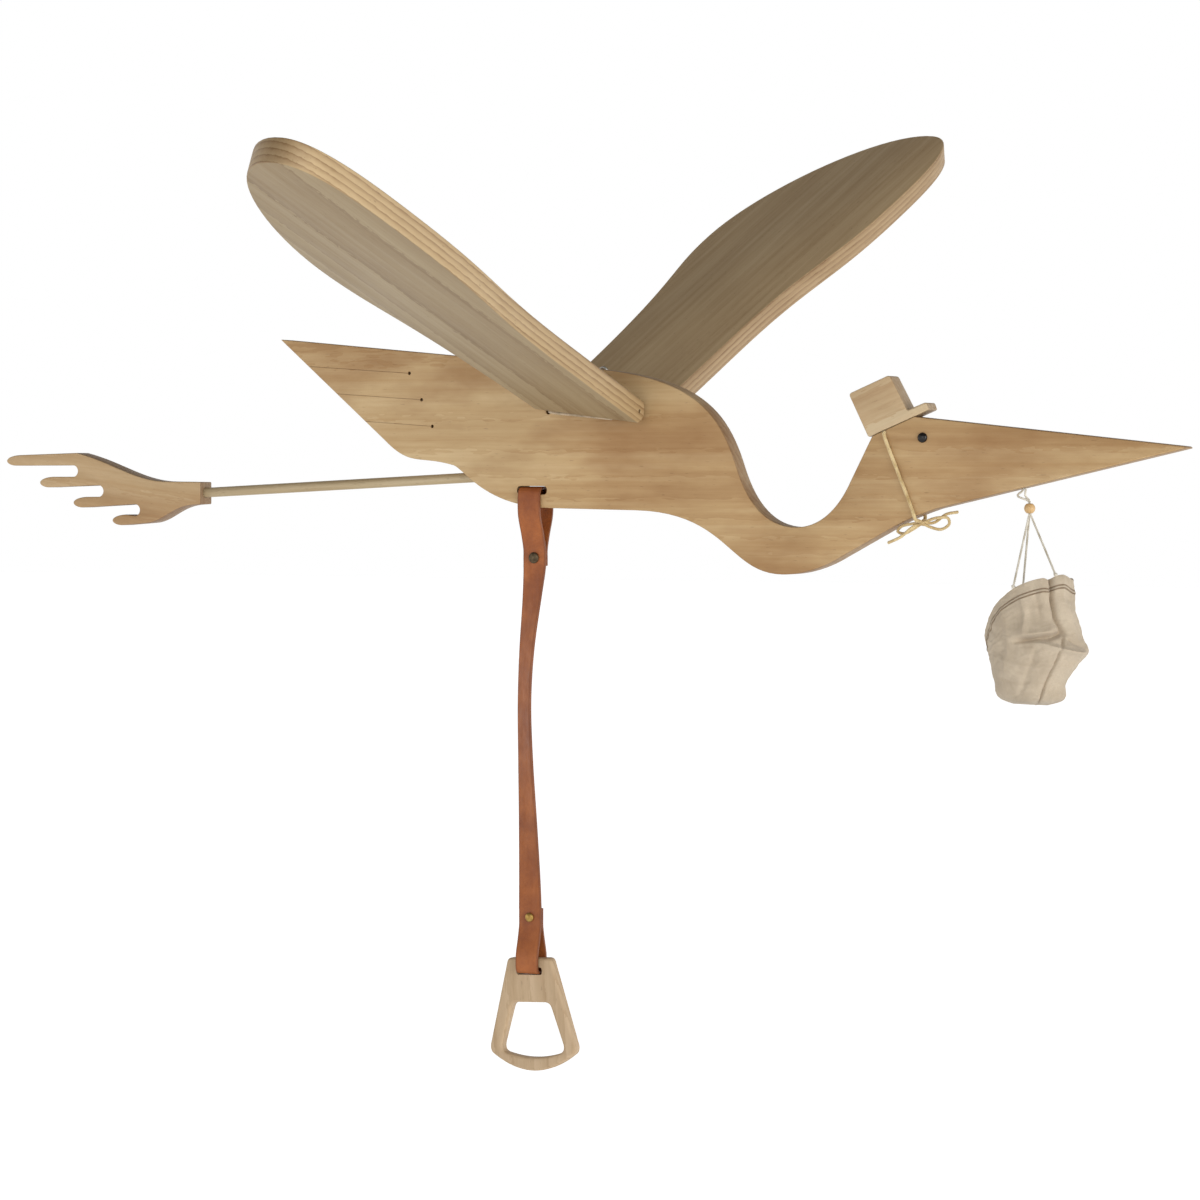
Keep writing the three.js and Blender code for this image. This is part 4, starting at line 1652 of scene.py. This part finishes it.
@dataclass
class Strap:
    """The leather strap, folded back through the body's slot above and the handle's below."""

    width: float = 20.0
    thickness: float = 2.4
    twist: float = -34.0
    upper: Flat = (-57.2, -120.6)
    lower: Flat = (-61.3, -406.2)
    slot_top: float = -63.8
    half_board: float = 9.0
    hang: tuple[Flat, ...] = (
        (-60, -150), (-65, -195), (-67, -236), (-66, -282), (-64, -330), (-62.4, -377),
    )
    upper_bend: float = 4.0
    lower_bend: float = 3.0
    step: float = 1.6
    cup: float = 0.25
    handle: Handle = field(default_factory=Handle)

    def bend(self, x: float, y: float, z: float, radius: float, start: float) -> list[Spot]:
        """Three points of the strap's middle line, bent round a point of its route."""
        angles = [math.radians(start + turn) for turn in (0, 45, 90)]
        return [(x, y + radius * math.cos(a), z + radius * math.sin(a)) for a in angles]

    def route(self) -> list[Spot]:
        """The strap's middle line, from its free end above to its free end below.

        Returns:
            Places in millimetres about the hinges.
        """
        pair = self.thickness / 2 + 0.15
        upper_side = self.half_board + self.thickness / 2 + 0.4
        lower_side = (self.handle.thickness + self.thickness) / 2 + 0.9
        upper_run = self.slot_top - 1.9
        lower_run = self.handle.top + self.handle.slot[1][1] - 4.0
        upper_in, lower_in = upper_side - self.upper_bend, lower_side - self.lower_bend
        (ux, uz), (lx, lz) = self.upper, self.lower
        return [
            *((ux, pair, uz + above) for above in (-6.4, 0, 6.4)),
            (ux, 4.6, -103), (ux, upper_side, -86),
            *self.bend(ux, upper_in, upper_run - self.upper_bend, self.upper_bend, 0),
            *self.bend(ux, -upper_in, upper_run - self.upper_bend, self.upper_bend, 90),
            (ux, -upper_side, -86), (ux, -4.6, -103),
            *((ux, -pair, uz + above) for above in (6.4, 0, -7.4)),
            *((x, 0, z) for x, z in self.hang),
            *((lx, -pair, lz + above) for above in (7.4, 0, -6.4)),
            (lx, -3.6, -423), (lx, -lower_side, -436.5),
            *self.bend(lx, -lower_in, lower_run + self.lower_bend, self.lower_bend, 180),
            *self.bend(lx, lower_in, lower_run + self.lower_bend, self.lower_bend, 270),
            (lx, lower_side, -436.5), (lx, 3.6, -423),
            *((lx, pair, lz + above) for above in (-6.4, 0, 7.4)),
        ]

    def turn_at(self, z: float) -> float:
        """How far the single stretch is twisted about the plumb line, at height z.

        Args:
            z: Millimetres above the hinges.

        Returns:
            The twist in radians.
        """
        share = (z + 127) / (127 - 399)
        if not 0 < share < 1:
            return 0.0
        return math.radians(self.twist) * math.sin(math.pi * share**0.75)

    def build(self) -> None:
        """Cuts the strap flat, lays it along its route and gives it its thickness."""
        line = spaced(smooth_line([Vector(spot) for spot in self.route()], 1200), self.step)
        across, along = 8, len(line) - 1
        run = (line[1] - line[0]).length * along

        def spot(column: int, row: int) -> Vector:
            """Where a column and row of the strap's middle surface lie.

            Args:
                column: Steps along the strap.
                row: Steps across it.

            Returns:
                The place in the frame.
            """
            centre, ahead = line[column], ahead_at(line, column)
            twist = self.turn_at(centre.z)
            wide = Vector((math.cos(twist), math.sin(twist), 0))
            wide = (wide - ahead * wide.dot(ahead)).normalized()
            off = row / across - 0.5
            cup = self.cup * (2 * off) ** 2 if twist else 0.0
            return DATUM.at(*(centre + wide * off * (self.width - 0.4) + ahead.cross(wide) * cup))

        def flat(column: int, row: int) -> Flat:
            """Where they lie on the flat strap."""
            return column / along * run * MM, row / across * self.width * MM

        strap = cut_sheet("strap_leather", along, across, spot, flat)
        modify(strap, "SOLIDIFY", thickness=(self.thickness - 0.1) * MM, offset=0.0, use_even_offset=True)
        ease(strap, 0.5, 3, 60)
        leather = Leather(srgb(174, 99, 42), srgb(134, 68, 24), self.width * MM).material("strap_leather")
        finish_piece(strap, leather, "strap", "body", "strap", smooth=60)


@dataclass
class Rivet:
    """A double-cap rivet through both layers of the strap."""

    name: str
    slot: str
    place: Flat
    radius: float
    metal: Metal
    seat: float = 2.85

    def build(self) -> None:
        """Domes both caps and joins them on their post."""
        rivet, other = (self.cap(way) for way in (-1, 1))
        combine(rivet, other, Bond.JOIN)
        reach = mm(0, self.seat + 0.4, 0)
        combine(rivet, rod("post", -reach, reach, 1.3), Bond.JOIN)
        settle(rivet, Matrix.Translation(DATUM.at(self.place[0], 0, self.place[1])))
        metal = self.metal.material(f"{self.name}_metal")
        finish_piece(rivet, metal, self.slot, "body", self.name, smooth=50)

    def cap(self, way: int) -> Piece:
        """One cap: a disc with a stepped rim and a domed middle, on the side that way gives.

        Args:
            way: The sign of y on the cap's side.

        Returns:
            The cap.
        """
        deselect()
        bpy.ops.mesh.primitive_cylinder_add(vertices=48, radius=self.radius * MM, depth=0.7 * MM)
        cap = named(f"{self.name}_caps")
        with editing():
            bpy.ops.mesh.select_all(action="DESELECT")
        for face in cap.data.polygons:
            face.select = face.normal.z > 0.9
        with editing(everything=False):
            for width, rise in ((0.5, 0.35), (0.22 * self.radius, 0.35), (0.3 * self.radius, 0.2)):
                bpy.ops.mesh.inset(thickness=width * MM, depth=rise * MM)
        ease(cap, 0.18, 2, 24)
        turn = Matrix.Rotation(-way * math.pi / 2, 4, "X")
        return settle(cap, Matrix.Translation(mm(0, way * (self.seat + 0.35), 0)) @ turn)


# ---------------------------------------------------------------- bag, bead and strings


def bell(offset: float, width: float) -> float:
    """1 at no offset, falling away smoothly over the width."""
    return math.exp(-((offset / width) ** 2))


def swell(value: float, start: float) -> float:
    """0 up to the start, and from there ever faster up to 1 at 1."""
    return (max(0.0, value - start) / (1 - start)) ** 2


@dataclass(frozen=True)
class Fold:
    """A fold in the bag's wall, along a line of places across the wall and up it.

    It stands out by its height, or is pressed in where that is below 0. Its lean tips it to one
    side, and its fade gives the shares of its length over which it dies out at either end.
    """

    line: tuple[Flat, ...]
    height: float
    width: float
    lean: float = 0.0
    fade: Flat = (0.25, 0.25)

    def push(self, across: float, up: float) -> float:
        """How far the fold pushes the cloth outwards at a place.

        Args:
            across: Millimetres along the wall.
            up: Millimetres up.

        Returns:
            Millimetres outwards.
        """
        place = Vector((across, up))
        nearest, offset, share = math.inf, 0.0, 0.0
        for index, (start, end) in enumerate(zip(self.line, self.line[1:])):
            first, along = Vector(start), Vector(end) - Vector(start)
            t = max(0.0, min(1.0, (place - first).dot(along) / along.length_squared))
            gap = place - first - along * t
            if gap.length < nearest:
                nearest = gap.length
                offset = math.copysign(nearest, along.x * gap.y - along.y * gap.x)
                share = (index + t) / (len(self.line) - 1)
        if nearest > 4 * self.width:
            return 0.0
        strength = 1.0
        for left, span in zip((share, 1 - share), self.fade):
            if left < span:
                strength *= math.sin(math.pi / 2 * left / span)
        reach = offset / self.width
        crest = math.exp(-(abs(reach) ** 1.25))
        return strength * self.height * (crest + self.lean * reach * bell(reach, 1))


@dataclass
class Bag:
    """The little cloth bag: a stitched pouch that hangs open from three strings.

    Each level, from the bottom to the mouth, gives the back's x and z, the beak side's x and z,
    and how full the bag is there. The lip's dip is given by its place across the wall, its width
    and its depth, the puckers by their number and height, and the sag on the left by its least
    and by how much more it is at the beak side.
    """

    depth: float = 25.0
    wall: float = 1.1
    around: int = 208
    up: int = 124
    middle_x: float = 360.0
    facing: float = 26.8
    hem: float = 11.4
    rows: Flat = (8.0, 10.4)
    stitch: float = 2.1
    stitch_gap: float = 0.7
    stitch_ends: Flat = (0.1, 0.85)
    thread: float = 0.24
    flat: Flat = (0.19, 0.095)
    beak_droop: float = 5.0
    left_sag: Flat = (3.0, 9.0)
    hem_rise: float = 0.4
    puckers: Flat = (34, 0.22)
    lip_dip: Spot = (11.3, 3.2, 2.6)
    lip_sag: float = 1.2
    levels: tuple[tuple[float, ...], ...] = (
        (346, -226, 373, -226.6, 0.42), (335.5, -220.5, 386, -221.9, 0.66), (331, -208, 387, -209, 0.82),
        (329, -198, 397, -196, 0.92), (328, -192, 404.5, -185.6, 0.98), (327, -189, 399, -172, 1),
        (326, -186.6, 394, -150, 0.94), (325.1, -184, 392.5, -127, 0.86),
    )
    near_folds: tuple[Fold, ...] = (
        Fold(((11.3, -125), (12.4, -146), (14.6, -161), (21.4, -175)), -5.5, 1.7, 0.5, (0.0, 0.3)),
        Fold(((22, -172), (16.5, -190), (9, -208), (2.4, -228)), -2.7, 0.85, 0.6, (0.1, 0.0)),
        Fold(((-17, -179), (-4, -177.4), (11, -176), (24, -171.4)), -6.0, 2.3, 0.8, (0.3, 0.2)),
        Fold(((-18, -174), (-4, -172.6), (9, -170.6), (19, -166)), 2.6, 3.0, 0.0, (0.3, 0.3)),
        Fold(((-3, -176), (9, -180), (20, -183.2), (31, -185.8), (42, -187)), 4.2, 2.2, -0.5, (0.3, 0.0)),
        Fold(((23, -176), (31, -180.4), (40, -183.8)), -3.0, 2.0, 0.0, (0.2, 0.1)),
        Fold(((24, -212), (31, -199), (41.5, -187)), 2.2, 2.0, 0.0, (0.1, 0.1)),
        Fold(((20, -190), (26, -193), (33, -191)), -1.8, 2.6),
        Fold(((-25, -150), (-20, -164), (-18, -184), (-21, -206)), 1.6, 3.2),
        Fold(((-12, -141), (-7, -157), (-9, -173)), 2.2, 2.4, 0.5),
        Fold(((-2, -134), (2, -150), (5, -166)), -1.6, 2.4, 0.3),
        Fold(((1, -181), (-3, -195), (-11, -219)), -1.5, 2.6, 0.5),
        Fold(((20, -128), (22, -148), (30, -166)), 2.2, 2.4, 0.0, (0.0, 0.3)),
        Fold(((-28, -190), (-12, -196), (6, -199)), 1.3, 2.0, 0.5),
        Fold(((-24, -206), (-10, -210), (4, -207)), -1.0, 2.2, 0.4),
    )
    far_folds: tuple[Fold, ...] = (
        Fold(((-14, -138), (-9, -158), (-14, -181)), -2.8, 2.8, 0.3, (0.0, 0.3)),
        Fold(((9, -130), (7, -153), (15, -174)), -2.4, 2.6, -0.3, (0.0, 0.3)),
        Fold(((-22, -183), (0, -178), (28, -184)), -3.0, 3.2, 0.4),
        Fold(((-10, -188), (3, -204), (0, -226)), 1.7, 3.4, 0.3, (0.3, 0.0)),
        Fold(((18, -186), (14, -205), (20, -222)), -1.6, 3.0),
    )

    def point(self, level: float, angle: float) -> Vector:
        """A point of the bag's wall before its folds, in millimetres.

        Args:
            level: 0 at the bottom, 1 at the mouth.
            angle: Angle about the bag's upright middle, 0 at the beak side.

        Returns:
            The point.
        """
        back_x, back_z, beak_x, beak_z, fullness = self.size_at(level)
        fullness *= min(1.0, level / 0.09) ** 0.5
        across = (1 + math.cos(angle)) / 2
        arch = (33 - 28 * across) * abs(math.sin(angle)) * level**2.2
        sag = self.left_sag[0] + self.left_sag[1] * swell(across, 0.7)
        droop = self.beak_droop * swell(across, 0.92) + sag * max(0.0, math.sin(angle))
        half = (beak_x - back_x) / 2
        return Vector((
            (back_x + beak_x) / 2 + half * math.cos(angle), self.depth * fullness * math.sin(angle),
            back_z + (beak_z - back_z) * across + arch - droop * level**6,
        ))

    def size_at(self, level: float) -> list[float]:
        """The back's and the beak side's place and the fullness, eased from one level to the next.

        Args:
            level: 0 at the bottom, 1 at the mouth.

        Returns:
            The back's x and z, the beak side's x and z, and the fullness.
        """
        last = len(self.levels) - 1
        index = min(int(level * last), last - 1)
        t = level * last - index
        near = (self.levels[max(0, min(last, index + step))] for step in (-1, 0, 1, 2))
        return [
            b + 0.5 * t * (c - a + (2 * a - 5 * b + 4 * c - d) * t + (3 * b - 3 * c + d - a) * t * t)
            for a, b, c, d in zip(*near)
        ]

    def below_mouth(self, angle: float) -> list[float]:
        """How far each row of the cloth lies below the mouth, along the wall, bottom row first.

        Args:
            angle: Angle about the bag's upright middle, 0 at the beak side.

        Returns:
            Millimetres for each row.
        """
        column = [self.point(row / self.up, angle) for row in range(self.up + 1)]
        below = [0.0]
        for upper, lower in zip(reversed(column), reversed(column[:-1])):
            below.append(below[-1] + (upper - lower).length)
        return below[::-1]

    def surface(self, level: float, angle: float, below: float) -> Vector:
        """A point of the wall with its folds, wrinkles and hem.

        Args:
            level: 0 at the bottom, 1 at the mouth.
            angle: Angle about the bag's upright middle, 0 at the beak side.
            below: Millimetres below the mouth, along the wall.

        Returns:
            The point in millimetres.
        """
        point = self.point(level, angle)
        turn = math.radians(self.facing)
        across = math.cos(turn) * (point.x - self.middle_x) - math.sin(turn) * abs(point.y)
        folds = self.near_folds if point.y < 0 else self.far_folds
        push = sum(fold.push(across, point.z) for fold in folds)
        push *= min(1.0, abs(math.sin(angle)) * 3.0)
        push += self.wrinkles(point) * min(1.0, level * 9)
        if below < self.hem:
            count, height = self.puckers
            push += self.hem_rise * min(1.0, (self.hem - below) / 0.8)
            push += height * math.sin(angle * count) * bell(below - self.rows[1], 2.2)
        out = Vector((math.cos(angle), math.sin(angle) * 1.2, 0)).normalized()
        place, width, depth = self.lip_dip
        drop = depth * bell(across - place, width) if point.y < 0 else 0.0
        drop += self.lip_sag * (0.5 + 0.5 * math.cos(angle * 3 + 0.9))
        return point + out * push - Vector((0, 0, drop * level**8))

    def wrinkles(self, point: Vector) -> float:
        """How far broad, close and fine wrinkles push the cloth out, in millimetres.

        Args:
            point: A point of the wall, in millimetres.

        Returns:
            Millimetres outwards.
        """
        broad = noise.noise(Vector((point.x * 0.05 + 3, point.y * 0.05 + 7, point.z * 0.09 + 1)))
        close = noise.noise(Vector((point.x, point.y, point.z * 1.3)) * 0.19)
        return 1.5 * broad + 0.9 * (0.35 - abs(close)) + 0.25 * noise.noise(point * 0.45)

    def mouth(self, angle: float) -> Vector:
        """A point of the mouth's edge."""
        return self.surface(1.0, angle, 0.0)

    def build(self) -> None:
        """Wraps the cloth into the pouch, closes its bottom seam and stitches its hem."""
        angles = [math.tau * column / self.around for column in range(self.around + 1)]
        below = [self.below_mouth(angle) for angle in angles]
        girths = [self.girth(row / self.up) for row in range(self.up + 1)]

        def spot(column: int, row: int) -> Vector:
            """Where a column and row of the cloth hang."""
            return DATUM.at(*self.surface(row / self.up, angles[column], below[column][row]))

        def flat(column: int, row: int) -> Flat:
            """Where they lie on the flat cloth."""
            return (column / self.around - 0.25) * girths[row] * MM, below[column][row] * MM

        bag = cut_sheet("bag_pouch", self.around, self.up, spot, flat)
        with editing():
            bpy.ops.mesh.remove_doubles(threshold=0.00002)
            bpy.ops.mesh.normals_make_consistent(inside=False)
        modify(bag, "SOLIDIFY", thickness=self.wall * MM, offset=-1.0)
        ease(bag, 0.25, 2, 60)
        seams = tuple(row * MM for row in self.rows)
        # The last colour paints the hem's stitch lines dark: the thread's brown with painted shade in their
        # grooves.
        cotton = Cotton(srgb(216, 200, 176), srgb(180, 162, 138), seams, srgb(112, 84, 58))
        finish_piece(bag, cotton.material("natural_cotton"), "bag", "body", "bag", smooth=60)
        cloth = sum(face.area for face in bag.data.polygons) / 2
        log.info("bag: %.4f m2 of cloth, %.4f m2 flat", cloth, self.flat[0] * self.flat[1])
        self.sew()

    def girth(self, level: float) -> float:
        """The length of one row of the cloth, in millimetres."""
        ring = [self.point(level, math.tau * step / 60) for step in range(61)]
        return sum((b - a).length for a, b in zip(ring, ring[1:]))

    def sew(self) -> None:
        """Lays the two rows of stitches round the hem."""
        chance = random.Random(5)
        deselect()
        bpy.ops.mesh.primitive_uv_sphere_add(segments=8, ring_count=6, radius=1.0)
        model = bpy.context.object
        stitches = []
        count = round(self.girth(0.9) / (self.stitch + self.stitch_gap))
        for row in self.rows:
            for index in range(count):
                turns = (math.tau * (index + share) / count for share in self.stitch_ends)
                start, end = (self.at_hem(turn, row) for turn in turns)
                thread = self.thread * chance.uniform(0.9, 1.1) * MM
                size = Matrix.Diagonal((thread, thread, (end - start).length / 2 * 1.05, 1))
                stitch = bpy.data.objects.new("stitch", model.data.copy())
                bpy.context.scene.collection.objects.link(stitch)
                stitch.data.transform(between(start, end) @ size)
                stitches.append(stitch)
        bpy.data.objects.remove(model)
        twine = Twine(srgb(158, 136, 106), srgb(116, 94, 68)).material("hem_thread")
        finish_piece(fuse("bag_stitching", stitches), twine, "bag", "body", smooth=60)

    def at_hem(self, angle: float, row: float) -> Vector:
        """The place on the wall at a distance below the mouth, in the frame.

        Args:
            angle: Angle about the bag's upright middle, 0 at the beak side.
            row: Millimetres below the mouth.

        Returns:
            The place in metres.
        """
        below = self.below_mouth(angle)
        index = next(i for i in range(self.up, 0, -1) if below[i - 1] >= row)
        share = (row - below[index]) / (below[index - 1] - below[index])
        return DATUM.at(*self.surface((index - share) / self.up, angle, row))


@dataclass
class BagStrings:
    """The doubled cord out of the beak, through the bead, spread to three knots on the bag.

    Each tie is given by how far across the mouth it is, from its back to the beak's side, and
    by the sign of y there.
    """

    bag: Bag
    beak: Flat = (354.5, -64.88)
    bead: Flat = (358.7, -80.0)
    bead_radius: float = 4.2
    bead_bore: float = 1.9
    radius: float = 0.9
    ties: tuple[Flat, ...] = ((0.43, -1), (0.3, 1), (0.88, -1))

    def build(self) -> None:
        """Lays the strands, the three strings and their knots, and threads the bead."""
        cordage = Cordage(self.radius, turn_length=2.4)
        beak_x, beak_z = self.beak
        x, z = self.bead
        pieces = []
        for side, bulge in ((-1, 4), (1, 0.6)):
            route = [
                (beak_x + side, 0, beak_z + 10), (beak_x + side, 0, z + 14),
                (beak_x + side - bulge, side, z + 9.5), (x + side * 0.4 - 0.6, 0, z + 5.5),
                (x, 0, z + 3), (x, 0, z - 3),
            ]
            pieces.append(cordage.run(f"bag_string_{side}", route, 200))
        below = DATUM.at(x, 0, z - 3)
        for index, (across, side) in enumerate(self.ties):
            end = DATUM.at(*self.bag.mouth(side * math.acos(2 * across - 1)) + Vector((0, 0, 1.0)))
            pieces.append(cordage.lay(f"bag_tie_{index}", [below, below.lerp(end, 0.5), end]))
            pieces.append(cordage.knot(f"bag_knot_{index}", end, 2.0))
        twine = Twine(srgb(222, 216, 202), srgb(178, 168, 148)).material("grey_white_string")
        finish_piece(fuse("bag_strings", pieces), twine, "bag_cord", "body", "bag_cord", smooth=60)
        self.thread_bead()

    def thread_bead(self) -> None:
        """Turns the bead, bores it and eases the bore's mouths."""
        deselect()
        bpy.ops.mesh.primitive_uv_sphere_add(segments=48, ring_count=24, radius=self.bead_radius * MM)
        bead = named("bag_bead")
        reach = self.bead_radius + 1
        drill(bead, (0, 0, -reach), (0, 0, reach), self.bead_bore, 32)
        ease(bead, 0.4, 3, 40)
        place = Matrix.Translation(DATUM.at(self.bead[0], 0, self.bead[1]))
        settle(bead, place)
        upright = place @ Matrix.Rotation(-math.pi / 2, 4, "Y")
        finish_piece(bead, BEAD_WOOD.material("bead_wood", upright), "bead", "body", "bead", smooth=50)


# ---------------------------------------------------------------- the whole mobile


def main() -> None:
    """Builds the studio, the cords and every piece in order."""
    logging.basicConfig(level=logging.INFO, format="%(name)s: %(message)s")
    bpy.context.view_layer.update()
    bag = Bag()
    bronze = Metal(srgb(104, 90, 70), srgb(66, 56, 44), 0.38)
    brass = Metal(srgb(190, 156, 88), srgb(140, 108, 58), 0.3)
    strap = Strap()
    assemblies = (
        Studio(), HatCord(), HingeCord(), BagStrings(bag), StorkBody(),
        Wing(Side.RIGHT, 16.5, WING_PINE), Wing(Side.LEFT, 25.6, LEFT_WING_PINE),
        Leg(), Foot(), Hat(), *(Eye(side) for side in Side), strap,
        Rivet("rivet_upper", "rivet_dark", strap.upper, 4.4, bronze),
        Rivet("rivet_lower", "rivet_brass", strap.lower, 3.6, brass),
        Handle(), bag,
    )
    for assembly in assemblies:
        assembly.build()
    deselect()


if __name__ == "__main__":
    main()
